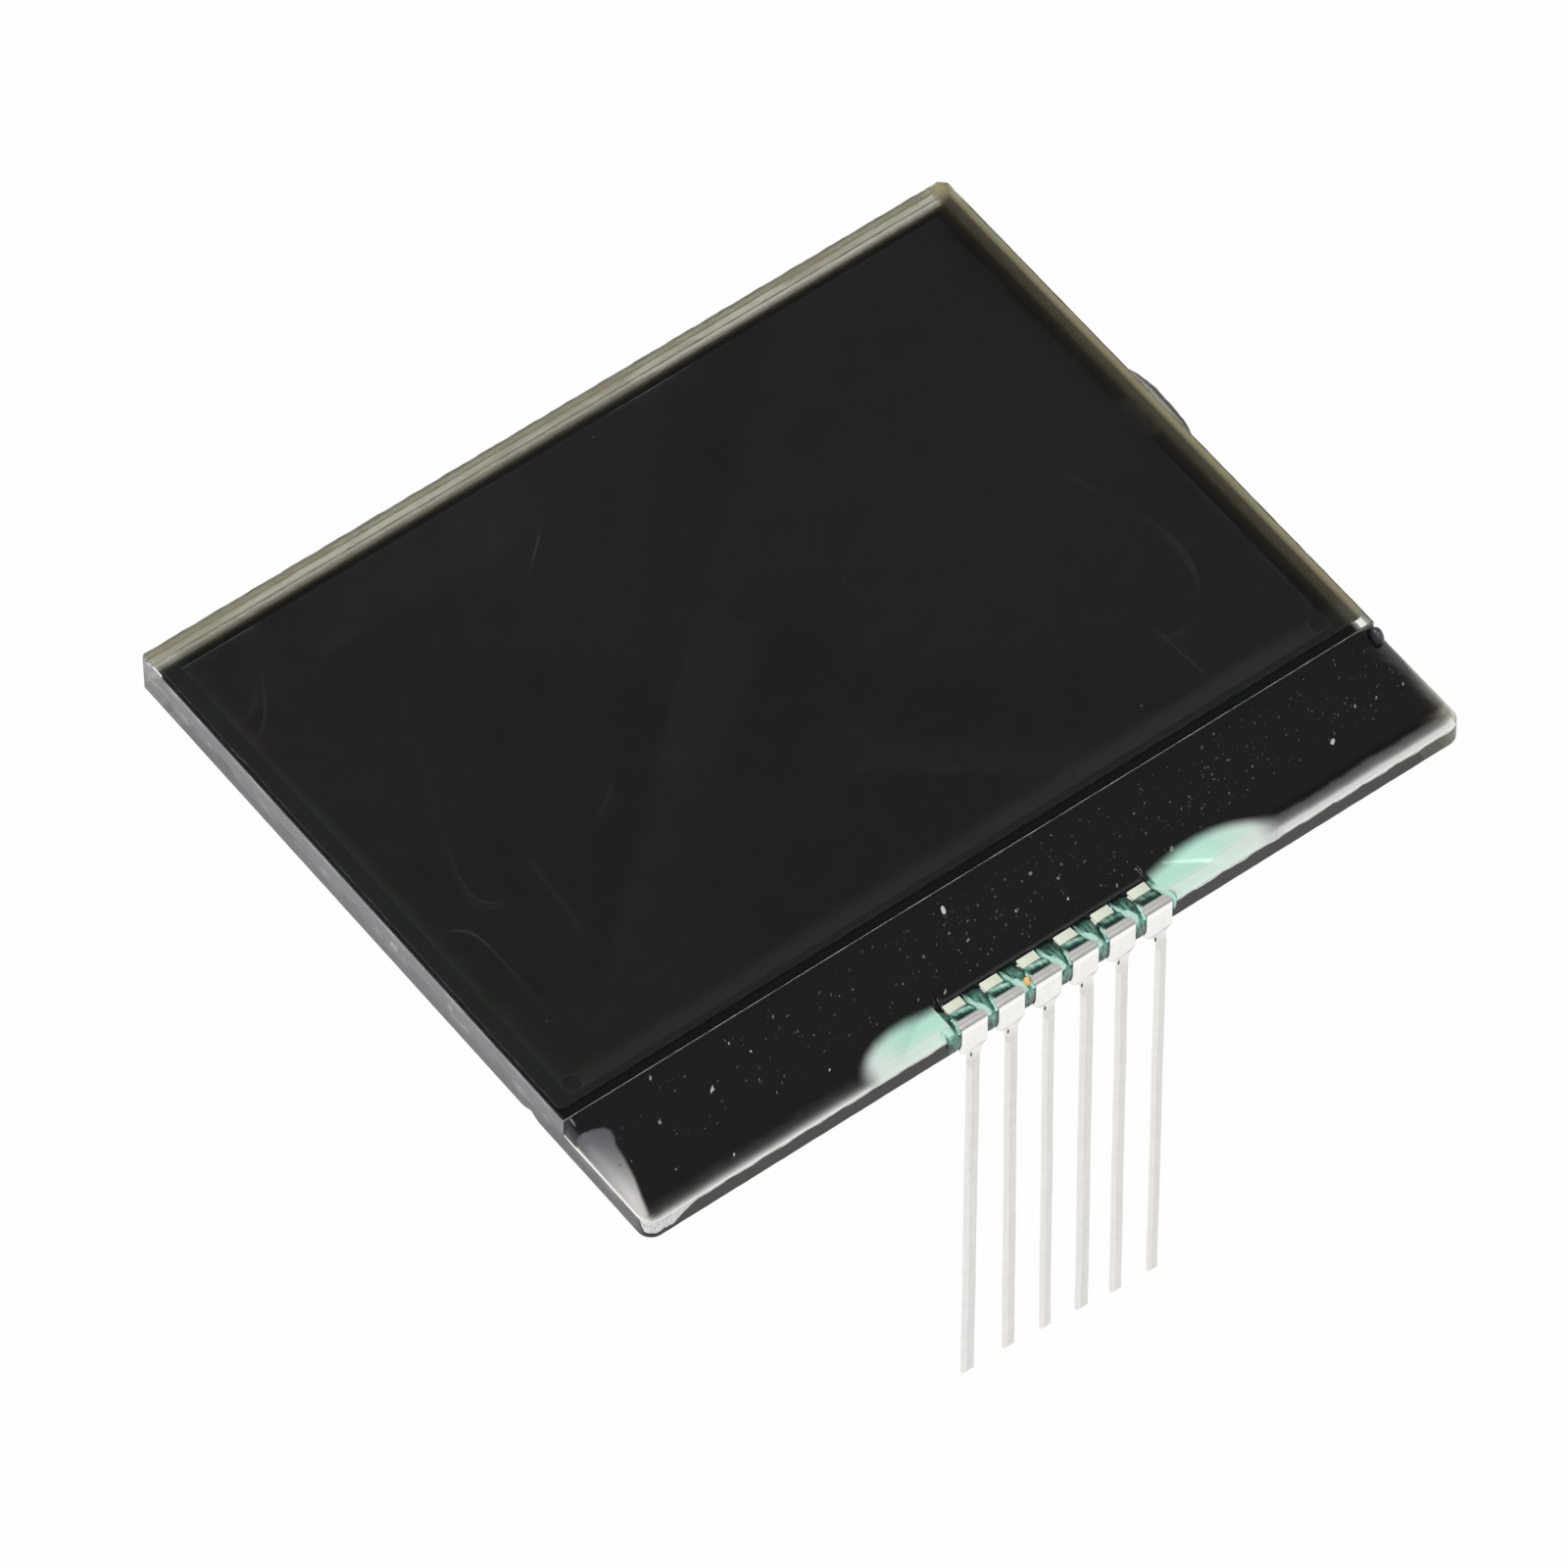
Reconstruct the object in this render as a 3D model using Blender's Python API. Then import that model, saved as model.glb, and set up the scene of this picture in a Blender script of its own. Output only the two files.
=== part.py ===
"""Chip-on-glass liquid crystal display with six clip-on terminal pins.

The panel lies flat with its viewing side up. X runs along the pin row, Y from the ledge's outer
edge towards the far edge, and Z along the display's normal. The origin lies in the middle of the
pin row, at the level of the longest pin's tip. All sizes are in metres.
"""

import math

import bmesh
import bpy
import numpy as np

# Glass sheets
GLASS_THICKNESS = 0.0011
FRONT_GLASS_WIDTH = 0.0439
FRONT_GLASS_DEPTH = 0.0310
LEDGE_DEPTH = 0.0060
REAR_GLASS_EXTRA_WIDTH = 0.0003
GLASS_EDGE_CHAMFER = 0.00005
FAR_CORNER_CUT = 0.00045
LEDGE_LEFT_CORNER_RADIUS = 0.0007
LEDGE_RIGHT_CORNER_RADIUS = 0.0011

# Cell between the sheets
CELL_GAP = 0.00001
SEAL_INSET = 0.00035
SEAL_WIDTH = 0.0009
FILL_PORT_WIDTH = 0.0024
FILL_PORT_FROM_LEDGE = 0.0155
CRYSTAL_CLEARANCE = 0.00002
TRANSFER_DOT_RADIUS = 0.0004
TRANSFER_DOT_CLEARANCE = 0.00005

# Plug of adhesive on the filling port
PLUG_LENGTH = 0.0051
PLUG_REACH = 0.0006
PLUG_HEIGHT = 0.00107
PLUG_CLEARANCE = 0.00001
PLUG_END_SHARE = 0.25

# Polarising films
POLARISER_THICKNESS = 0.0002
FRONT_POLARISER_SIDE_MARGIN = 0.00015
FRONT_POLARISER_NEAR_MARGIN = 0.0005
FRONT_POLARISER_FAR_MARGIN = 0.0002
REAR_POLARISER_SIDE_MARGIN = 0.0005
REAR_POLARISER_NEAR_MARGIN = 0.0003
REAR_POLARISER_FAR_MARGIN = 0.0006
POLARISER_CORNER_RADIUS = 0.0003

# Driver chip on the ledge
CHIP_LENGTH = 0.0092
CHIP_WIDTH = 0.0013
CHIP_HEIGHT = 0.0004
CHIP_FROM_FRONT_GLASS = 0.0013
BOND_FILM_THICKNESS = 0.00002
BOND_FILM_MARGIN = 0.00025

# Black coat over the ledge
COAT_THICKNESS = 0.00072
COAT_RIM_THICKNESS = 0.00006
COAT_MARGIN = 0.0001
COAT_FRONT_ROLL = 0.0016
COAT_SIDE_ROLL = 0.0015
COAT_MENISCUS_RISE = 0.0003
COAT_MENISCUS_REACH = 0.0009
COAT_CLEARANCE = 0.00002

# Terminal pins
PIN_COUNT = 6
PIN_PITCH = 0.0020
FIRST_PIN_FROM_LEFT = 0.0173
PIN_THICKNESS = 0.0002
PIN_GLASS_CLEARANCE = 0.00003
TAB_LENGTH = 0.00055
TAB_WIDTH = 0.00095
TAB_TIP_REACH = 0.0015
ARCH_RISE = 0.0004
ARCH_CREST_REACH = 0.0001
PLATE_WIDTH = 0.0014
SHOULDER_DROP = 0.00115
SHOULDER_HEIGHT = 0.00105
LEAD_WIDTH = 0.00058
LEAD_LENGTH = 0.0255
FINGER_WIDTH = 0.0004
FINGER_REACH = 0.0012
FINGER_TIP_DROP = 0.00012
FINGER_INSET = 0.00001
TAB_BEND_RADIUS = 0.00048
CREST_BEND_RADIUS = 0.0002
PLATE_BEND_RADIUS = 0.00016
FINGER_BEND_RADIUS = 0.00016

# How much shorter each lead was cut than the longest, and how far its end leans along X
LEAD_SHORT_CUTS = (0.0012, 0.0011, 0.0008, 0.0005, 0.00015, 0.0)
LEAD_LEANS = (-0.0002, 0.00005, 0.0, 0.00005, 0.0, 0.00005)

# Adhesive bead round the pins
GLUE_END_REACH = 0.0050
GLUE_DEPTH = 0.00165
GLUE_END_HEIGHT = 0.00042
GLUE_PIN_HEIGHT = 0.00017
GLUE_SADDLE_HEIGHT = 0.0003
GLUE_SADDLE_OUT = 0.0002
GLUE_SADDLE_BOTTOM_LIFT = 0.0001
GLUE_SADDLE_INNER_REACH = 0.00055
GLUE_SADDLE_OVERHANG = 0.00025
GLUE_SADDLE_ROUND = 0.00012
GLUE_FADE_LENGTH = 0.0010
GLUE_END_ROLL = 0.0025
GLUE_PIN_CLEARANCE = 0.00002

# Fineness of curved shapes, and how strongly grid lines crowd towards the edges
ARC_STEPS = 8
BEND_STEPS = 6
STRIP_STEP = 0.00013
FINGER_STEP = 0.0003
LEAD_STEPS = 4
COAT_ROWS = 20
COAT_COLUMNS = 36
COAT_ROW_CROWDING = 0.7
COAT_COLUMN_CROWDING = 0.9
GLUE_ROWS = 10
GLUE_END_COLUMNS = 16
GLUE_ROW_CROWDING = 0.8
GLUE_COLUMN_CROWDING = 0.4
PLUG_SECTIONS = 17
SHARP_EDGE_ANGLE = 35.0

# Heights, from the pin tips up
LEDGE_TOP = (LEAD_LENGTH + SHOULDER_HEIGHT + SHOULDER_DROP
             - (PIN_THICKNESS + PIN_GLASS_CLEARANCE + ARCH_RISE))
REAR_GLASS_BOTTOM = LEDGE_TOP - GLASS_THICKNESS
FRONT_GLASS_BOTTOM = LEDGE_TOP + CELL_GAP
FRONT_GLASS_TOP = FRONT_GLASS_BOTTOM + GLASS_THICKNESS

# Places in plan, from the middle of the pin row
PIN_CENTRE_OUT = PIN_GLASS_CLEARANCE + PIN_THICKNESS / 2
PANEL_LEFT = -(FIRST_PIN_FROM_LEFT + PIN_PITCH * (PIN_COUNT - 1) / 2)
FRONT_GLASS_RIGHT = PANEL_LEFT + FRONT_GLASS_WIDTH
REAR_GLASS_RIGHT = FRONT_GLASS_RIGHT + REAR_GLASS_EXTRA_WIDTH
LEDGE_EDGE = PIN_CENTRE_OUT
FRONT_GLASS_NEAR = LEDGE_EDGE + LEDGE_DEPTH
PANEL_FAR = FRONT_GLASS_NEAR + FRONT_GLASS_DEPTH


def clear_scene():
    """Remove every object that the file starts with."""
    for item in list(bpy.data.objects):
        bpy.data.objects.remove(item, do_unlink=True)


def make_material(name, colour, roughness, metallic=0.0, transmission=0.0, alpha=1.0):
    """Return a Principled material."""
    material = bpy.data.materials.new(name)
    material.use_nodes = True
    shader = material.node_tree.nodes["Principled BSDF"]
    shader.inputs["Base Color"].default_value = (*colour, 1.0)
    shader.inputs["Roughness"].default_value = roughness
    shader.inputs["Metallic"].default_value = metallic
    shader.inputs["Transmission Weight"].default_value = transmission
    shader.inputs["Alpha"].default_value = alpha
    return material


def glass_material():
    """Clear soda-lime glass with a faint green cast."""
    return make_material("clear_glass", (0.86, 0.90, 0.87), 0.05, transmission=0.9)


def front_film_material():
    """Glossy grey-black polarising film."""
    return make_material("front_film", (0.014, 0.012, 0.011), 0.08)


def rear_film_material():
    """Matt dark grey polarising film."""
    return make_material("rear_film", (0.05, 0.05, 0.05), 0.45)


def seal_material():
    """Pale amber epoxy of the cell's frame."""
    return make_material("seal_epoxy", (0.42, 0.38, 0.28), 0.4)


def crystal_material():
    """Liquid crystal, almost colourless."""
    return make_material("liquid_crystal", (0.75, 0.76, 0.72), 0.1, transmission=0.8)


def dot_material():
    """Silver-filled conductive adhesive."""
    return make_material("transfer_paste", (0.55, 0.55, 0.54), 0.5, metallic=0.6)


def plug_material():
    """Clear hard adhesive of the plug."""
    return make_material("plug_adhesive", (0.45, 0.48, 0.52), 0.15)


def coat_material():
    """Glossy bluish-black potting."""
    return make_material("ledge_coat", (0.014, 0.014, 0.016), 0.12)


def silicon_material():
    """Dark grey polished silicon."""
    return make_material("silicon", (0.12, 0.12, 0.14), 0.2, metallic=0.4)


def bond_film_material():
    """Yellowish film with conductive particles."""
    return make_material("bond_film", (0.45, 0.38, 0.2), 0.5)


def pin_material():
    """Tin-plated bronze."""
    return make_material("tinned_bronze", (0.80, 0.79, 0.75), 0.28, metallic=1.0)


def glue_material():
    """Blue-green UV adhesive."""
    return make_material("uv_adhesive", (0.22, 0.55, 0.44), 0.15)


def add_object(name, vertices, faces, material, smooth=False):
    """Make one mesh object of flat triangles whose faces point outwards."""
    mesh = bpy.data.meshes.new(name)
    mesh.from_pydata([tuple(map(float, vertex)) for vertex in vertices], [], faces)
    mesh.materials.append(material)
    shell = bmesh.new()
    shell.from_mesh(mesh)
    bmesh.ops.recalc_face_normals(shell, faces=shell.faces)
    bmesh.ops.triangulate(shell, faces=shell.faces)
    shell.to_mesh(mesh)
    shell.free()
    if smooth:
        mesh.shade_smooth()
        mesh.set_sharp_from_angle(angle=math.radians(SHARP_EDGE_ANGLE))
    item = bpy.data.objects.new(name, mesh)
    bpy.context.scene.collection.objects.link(item)
    return item


def corner_points(centre_x, centre_y, radius, start_angle, steps):
    """Points of a quarter arc, or one point where the radius is nothing."""
    if radius <= 0.0:
        return [(centre_x, centre_y)]
    angles = [start_angle + math.pi / 2 * step / steps for step in range(steps + 1)]
    return [(centre_x + radius * math.cos(angle), centre_y + radius * math.sin(angle))
            for angle in angles]


def plan_outline(left, right, near, far, corners, inset=0.0):
    """Outline of a rectangle whose corners are rounded or cut, drawn in by an inset.

    corners gives (radius, steps) for the near left, near right, far right and far left corner.
    A corner of one step is a straight cut.
    """
    low_x, high_x = left + inset, right - inset
    low_y, high_y = near + inset, far - inset
    spots = ((low_x, low_y, 1, 1, math.pi), (high_x, low_y, -1, 1, 1.5 * math.pi),
             (high_x, high_y, -1, -1, 0.0), (low_x, high_y, 1, -1, 0.5 * math.pi))
    points = []
    for (x, y, side_x, side_y, angle), (radius, steps) in zip(spots, corners):
        points += corner_points(x + side_x * radius, y + side_y * radius, radius, angle, steps)
    return points


def loft(name, loops, material, smooth=False):
    """Join loops of equal length into one closed body with flat end caps."""
    count = len(loops[0])
    vertices = [vertex for loop in loops for vertex in loop]
    faces = [list(range(count))[::-1]]
    for level in range(len(loops) - 1):
        start = level * count
        for index in range(count):
            following = (index + 1) % count
            faces.append([start + index, start + following,
                          start + count + following, start + count + index])
    faces.append([(len(loops) - 1) * count + index for index in range(count)])
    return add_object(name, vertices, faces, material, smooth)


def slab(name, outline, bottom, top, material):
    """A plate of even thickness over a plan outline."""
    return loft(name, [[(x, y, z) for x, y in outline] for z in (bottom, top)], material)


def seamed_plate(name, box, corners, bottom, top, material):
    """A glass sheet whose long edges carry a small ground chamfer."""
    levels = ((bottom, GLASS_EDGE_CHAMFER), (bottom + GLASS_EDGE_CHAMFER, 0.0),
              (top - GLASS_EDGE_CHAMFER, 0.0), (top, GLASS_EDGE_CHAMFER))
    loops = [[(x, y, z) for x, y in plan_outline(*box, corners, inset)] for z, inset in levels]
    return loft(name, loops, material)


def height_solid(name, plan_x, plan_y, top, bottom, material):
    """A closed body between a flat bottom and a grid of heights."""
    rows, columns = plan_x.shape
    upper = np.stack([plan_x, plan_y, top], axis=-1).reshape(-1, 3)
    lower = np.stack([plan_x, plan_y, np.full_like(top, bottom)], axis=-1).reshape(-1, 3)
    total = rows * columns
    faces = []
    for row in range(rows - 1):
        for column in range(columns - 1):
            corner = row * columns + column
            quad = [corner, corner + 1, corner + columns + 1, corner + columns]
            faces.append(quad)
            faces.append([total + index for index in reversed(quad)])
    near = list(range(columns))
    right = [row * columns + columns - 1 for row in range(1, rows)]
    far = [(rows - 1) * columns + column for column in range(columns - 2, -1, -1)]
    left = [row * columns for row in range(rows - 2, 0, -1)]
    border = near + right + far + left
    for index, here in enumerate(border):
        following = border[(index + 1) % len(border)]
        faces.append([here, total + here, total + following, following])
    return add_object(name, np.vstack([upper, lower]), faces, material, smooth=True)


def cut_away(body, cutter):
    """Take a cutter's space out of a body."""
    cutter.hide_render = True
    cutter.display_type = "WIRE"
    modifier = body.modifiers.new("cut_" + cutter.name, "BOOLEAN")
    modifier.operation = "DIFFERENCE"
    modifier.solver = "EXACT"
    modifier.object = cutter


def add_on(body, addition):
    """Join a second shape to a body as one solid."""
    addition.hide_render = True
    addition.display_type = "WIRE"
    modifier = body.modifiers.new("join_" + addition.name, "BOOLEAN")
    modifier.operation = "UNION"
    modifier.solver = "EXACT"
    modifier.object = addition


def box_cutter(name, left, right, near, far, bottom, top, material):
    """A block that a Boolean takes away."""
    return slab(name, plan_outline(left, right, near, far, ((0.0, 1),) * 4), bottom, top, material)


def build_front_glass(material):
    """Upper sheet, square at the ledge and with its far corners cut."""
    box = (PANEL_LEFT, FRONT_GLASS_RIGHT, FRONT_GLASS_NEAR, PANEL_FAR)
    corners = ((0.0, 1), (0.0, 1), (FAR_CORNER_CUT, 1), (FAR_CORNER_CUT, 1))
    return seamed_plate("front_glass", box, corners, FRONT_GLASS_BOTTOM, FRONT_GLASS_TOP, material)


def build_rear_glass(material):
    """Lower sheet, which stands out past the front sheet as the ledge."""
    box = (PANEL_LEFT, REAR_GLASS_RIGHT, LEDGE_EDGE, PANEL_FAR)
    corners = ((LEDGE_LEFT_CORNER_RADIUS, ARC_STEPS), (LEDGE_RIGHT_CORNER_RADIUS, ARC_STEPS),
               (FAR_CORNER_CUT, 1), (FAR_CORNER_CUT, 1))
    return seamed_plate("rear_glass", box, corners, REAR_GLASS_BOTTOM, LEDGE_TOP, material)


def build_front_polariser(material):
    """Film on the front sheet."""
    outline = plan_outline(PANEL_LEFT + FRONT_POLARISER_SIDE_MARGIN,
                           FRONT_GLASS_RIGHT - FRONT_POLARISER_SIDE_MARGIN,
                           FRONT_GLASS_NEAR + FRONT_POLARISER_NEAR_MARGIN,
                           PANEL_FAR - FRONT_POLARISER_FAR_MARGIN,
                           ((POLARISER_CORNER_RADIUS, ARC_STEPS),) * 4)
    return slab("front_polariser", outline, FRONT_GLASS_TOP, FRONT_GLASS_TOP + POLARISER_THICKNESS,
                material)


def build_rear_polariser(material):
    """Film under the rear sheet, behind the display field only."""
    outline = plan_outline(PANEL_LEFT + REAR_POLARISER_SIDE_MARGIN,
                           FRONT_GLASS_RIGHT - REAR_POLARISER_SIDE_MARGIN,
                           FRONT_GLASS_NEAR + REAR_POLARISER_NEAR_MARGIN,
                           PANEL_FAR - REAR_POLARISER_FAR_MARGIN,
                           ((POLARISER_CORNER_RADIUS, ARC_STEPS),) * 4)
    return slab("rear_polariser", outline, REAR_GLASS_BOTTOM - POLARISER_THICKNESS,
                REAR_GLASS_BOTTOM, material)


def seal_box(offset):
    """Rectangle that lies an offset inside the front sheet's edges."""
    return (PANEL_LEFT + offset, FRONT_GLASS_RIGHT - offset,
            FRONT_GLASS_NEAR + offset, PANEL_FAR - offset)


def build_perimeter_seal(material):
    """Frame between the sheets, open at the filling port on the right side."""
    left, right, near, far = seal_box(SEAL_INSET)
    inner_left, inner_right, inner_near, inner_far = seal_box(SEAL_INSET + SEAL_WIDTH)
    port_middle = FRONT_GLASS_NEAR + FILL_PORT_FROM_LEDGE
    port_near = port_middle - FILL_PORT_WIDTH / 2
    port_far = port_middle + FILL_PORT_WIDTH / 2
    outline = [(right, port_far), (right, far), (left, far), (left, near), (right, near),
               (right, port_near), (inner_right, port_near), (inner_right, inner_near),
               (inner_left, inner_near), (inner_left, inner_far), (inner_right, inner_far),
               (inner_right, port_far)]
    return slab("perimeter_seal", outline, LEDGE_TOP, FRONT_GLASS_BOTTOM, material)


def transfer_dot_places():
    """Centres of the two dots, in the cell's near corners."""
    left, right, near, _ = seal_box(SEAL_INSET + SEAL_WIDTH)
    reach = TRANSFER_DOT_RADIUS + TRANSFER_DOT_CLEARANCE
    return {"left": (left + reach, near + reach), "right": (right - reach, near + reach)}


def build_liquid_crystal(material):
    """Film that fills the frame and its port, notched round the transfer dots."""
    left, right, near, far = seal_box(SEAL_INSET + SEAL_WIDTH + CRYSTAL_CLEARANCE)
    port_end = FRONT_GLASS_RIGHT - SEAL_INSET
    port_middle = FRONT_GLASS_NEAR + FILL_PORT_FROM_LEDGE
    half_port = FILL_PORT_WIDTH / 2 - CRYSTAL_CLEARANCE
    notch = 2 * (TRANSFER_DOT_RADIUS + TRANSFER_DOT_CLEARANCE)
    outline = [(left + notch, near), (right - notch, near), (right - notch, near + notch),
               (right, near + notch), (right, port_middle - half_port),
               (port_end, port_middle - half_port), (port_end, port_middle + half_port),
               (right, port_middle + half_port), (right, far), (left, far),
               (left, near + notch), (left + notch, near + notch)]
    return slab("liquid_crystal", outline, LEDGE_TOP, FRONT_GLASS_BOTTOM, material)


def build_transfer_dots(material):
    """Conductive dots that join the two sheets."""
    for side, (x, y) in transfer_dot_places().items():
        angles = [2 * math.pi * step / (4 * ARC_STEPS) for step in range(4 * ARC_STEPS)]
        outline = [(x + TRANSFER_DOT_RADIUS * math.cos(angle),
                    y + TRANSFER_DOT_RADIUS * math.sin(angle)) for angle in angles]
        slab("transfer_dot_" + side, outline, LEDGE_TOP, FRONT_GLASS_BOTTOM, material)


def build_end_seal_plug(material):
    """Bead on the step at the right edge, thick in its middle and thin at its ends."""
    middle = FRONT_GLASS_NEAR + FILL_PORT_FROM_LEDGE
    start_x = FRONT_GLASS_RIGHT + PLUG_CLEARANCE
    start_z = LEDGE_TOP + PLUG_CLEARANCE
    arc = [math.pi / 2 * index / ARC_STEPS for index in range(ARC_STEPS + 1)]
    loops = []
    for step in range(PLUG_SECTIONS):
        along = 2 * step / (PLUG_SECTIONS - 1) - 1
        size = PLUG_END_SHARE + (1 - PLUG_END_SHARE) * math.sqrt(max(0.0, 1 - along * along))
        section = [(0.0, 0.0)] + [(PLUG_REACH * size * math.cos(angle),
                                   PLUG_HEIGHT * size * math.sin(angle)) for angle in arc]
        y = middle + along * PLUG_LENGTH / 2
        loops.append([(start_x + x, y, start_z + z) for x, z in section])
    return loft("end_seal_plug", loops, material, smooth=True)


def chip_box(margin):
    """Plan of the driver chip, grown by a margin."""
    far = FRONT_GLASS_NEAR - CHIP_FROM_FRONT_GLASS
    return (-CHIP_LENGTH / 2 - margin, CHIP_LENGTH / 2 + margin,
            far - CHIP_WIDTH - margin, far + margin)


def build_chip(silicon, bond_film):
    """Driver chip and the film that bonds it to the ledge."""
    film_top = LEDGE_TOP + BOND_FILM_THICKNESS
    square = ((0.0, 1),) * 4
    slab("chip_bond_film", plan_outline(*chip_box(BOND_FILM_MARGIN), square), LEDGE_TOP, film_top,
         bond_film)
    slab("driver_chip", plan_outline(*chip_box(0.0), square), film_top, film_top + CHIP_HEIGHT,
         silicon)


def quarter_round(distance, reach):
    """Height share of a rounded edge: nothing at the edge, full from the reach on."""
    share = np.clip(distance / reach, 0.0, 1.0)
    return np.sqrt(np.clip(1.0 - (1.0 - share) ** 2, 0.0, 1.0))


def crowded_ends(count, strength):
    """Steps from 0 to 1 that crowd towards both ends."""
    even = np.linspace(0.0, 1.0, count)
    eased = 0.5 - 0.5 * np.cos(np.pi * even)
    return (1.0 - strength) * even + strength * eased


def ledge_side_pull(y, radius):
    """How far a rounded ledge corner draws the coat's side in at each Y."""
    depth = np.clip((LEDGE_EDGE + radius - y) / radius, 0.0, 1.0)
    return radius * (1.0 - np.sqrt(np.clip(1.0 - depth ** 2, 0.0, 1.0)))


def build_ledge_coat(material):
    """Domed potting over the ledge, drawn up against the front sheet's wall."""
    near = LEDGE_EDGE + COAT_MARGIN
    far = FRONT_GLASS_NEAR - COAT_CLEARANCE
    y = near + (far - near) * crowded_ends(COAT_ROWS, COAT_ROW_CROWDING)[:, None]
    left = PANEL_LEFT + COAT_MARGIN + ledge_side_pull(y, LEDGE_LEFT_CORNER_RADIUS)
    right = REAR_GLASS_RIGHT - COAT_MARGIN - ledge_side_pull(y, LEDGE_RIGHT_CORNER_RADIUS)
    x = left + (right - left) * crowded_ends(COAT_COLUMNS, COAT_COLUMN_CROWDING)[None, :]
    y = np.broadcast_to(y, x.shape)
    dome = (quarter_round(y - near, COAT_FRONT_ROLL) * quarter_round(x - left, COAT_SIDE_ROLL)
            * quarter_round(right - x, COAT_SIDE_ROLL))
    climb = np.clip(1.0 - (far - y) / COAT_MENISCUS_REACH, 0.0, 1.0) ** 2
    height = (COAT_RIM_THICKNESS + (COAT_THICKNESS - COAT_RIM_THICKNESS) * dome
              + COAT_MENISCUS_RISE * climb)
    coat = height_solid("ledge_coat", x, y, LEDGE_TOP + height, LEDGE_TOP, material)
    deep = LEDGE_TOP - GLASS_THICKNESS
    film_top = LEDGE_TOP + BOND_FILM_THICKNESS
    cut_away(coat, box_cutter("film_pocket", *chip_box(BOND_FILM_MARGIN + COAT_CLEARANCE),
                              deep, film_top + COAT_CLEARANCE, material))
    cut_away(coat, box_cutter("chip_pocket", *chip_box(COAT_CLEARANCE), deep,
                              film_top + CHIP_HEIGHT + COAT_CLEARANCE, material))
    glue_left, glue_right = glue_span()
    cut_away(coat, box_cutter("glue_channel", glue_left - COAT_CLEARANCE,
                              glue_right + COAT_CLEARANCE, LEDGE_EDGE - LEDGE_DEPTH,
                              LEDGE_EDGE + GLUE_DEPTH + COAT_CLEARANCE, deep,
                              LEDGE_TOP + 2 * COAT_THICKNESS, material))
    return coat


def rounded_path(corners, steps):
    """Follow a broken line, with an arc of its own radius at each inner corner.

    corners holds (y, z, radius). The arc's tangent length at a corner is its radius times the
    tangent of half the turn.
    """
    points = [np.array(corners[0][:2])]
    for before, here, after in zip(corners, corners[1:], corners[2:]):
        spot = np.array(here[:2])
        back = np.array(before[:2]) - spot
        ahead = np.array(after[:2]) - spot
        back = back / np.linalg.norm(back)
        ahead = ahead / np.linalg.norm(ahead)
        turn = math.pi - math.acos(max(-1.0, min(1.0, float(back @ ahead))))
        tangent = here[2] * math.tan(turn / 2)
        middle = (back + ahead) / np.linalg.norm(back + ahead)
        centre = spot + middle * math.hypot(here[2], tangent)
        start = spot + back * tangent - centre
        finish = spot + ahead * tangent - centre
        for step in range(steps + 1):
            share = step / steps
            blend = (math.sin((1 - share) * turn) * start + math.sin(share * turn) * finish)
            points.append(centre + blend / math.sin(turn))
    points.append(np.array(corners[-1][:2]))
    return np.array(points)


def dense_path(path, step):
    """Add points along a path so that none lie further apart than a step."""
    dense = [path[0]]
    for start, finish in zip(path, path[1:]):
        count = max(1, math.ceil(np.linalg.norm(finish - start) / step))
        dense += [start + (finish - start) * (index + 1) / count for index in range(count)]
    return np.array(dense)


def strip_loops(path, left_edge, right_edge, thickness):
    """Rectangular sections of a strip that follows a path in the YZ plane.

    Each section halves the angle between the stretches beside it, and is drawn out there so that
    the strip keeps its thickness round a bend.
    """
    stretch = np.diff(path, axis=0)
    stretch /= np.linalg.norm(stretch, axis=1)[:, None]
    direction = np.vstack([stretch[:1], stretch[:-1] + stretch[1:], stretch[-1:]])
    direction /= np.linalg.norm(direction, axis=1)[:, None]
    mitre = 1.0 / np.sum(direction * np.vstack([stretch[:1], stretch]), axis=1)
    normal = np.stack([-direction[:, 1], direction[:, 0]], axis=1) * thickness / 2 * mitre[:, None]
    loops = []
    for spot, side, low, high in zip(path, normal, left_edge, right_edge):
        over, under = spot + side, spot - side
        loops.append([(low, over[0], over[1]), (high, over[0], over[1]),
                      (high, under[0], under[1]), (low, under[0], under[1])])
    return loops


def smooth_step(value, low, high):
    """Rise smoothly from 0 to 1 between two values."""
    share = np.clip((value - low) / (high - low), 0.0, 1.0)
    return share * share * (3.0 - 2.0 * share)


def pin_head_heights():
    """Levels of a pin's head: strip middle on the tab, arch crest, shoulder and lead start."""
    tab = LEDGE_TOP + PIN_GLASS_CLEARANCE + PIN_THICKNESS / 2
    crest = tab + ARCH_RISE
    shoulder = crest + PIN_THICKNESS / 2 - SHOULDER_DROP
    return tab, crest, shoulder, shoulder - SHOULDER_HEIGHT


def pin_centre(index):
    """A pin's place along the row."""
    return (index - (PIN_COUNT - 1) / 2) * PIN_PITCH


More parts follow.
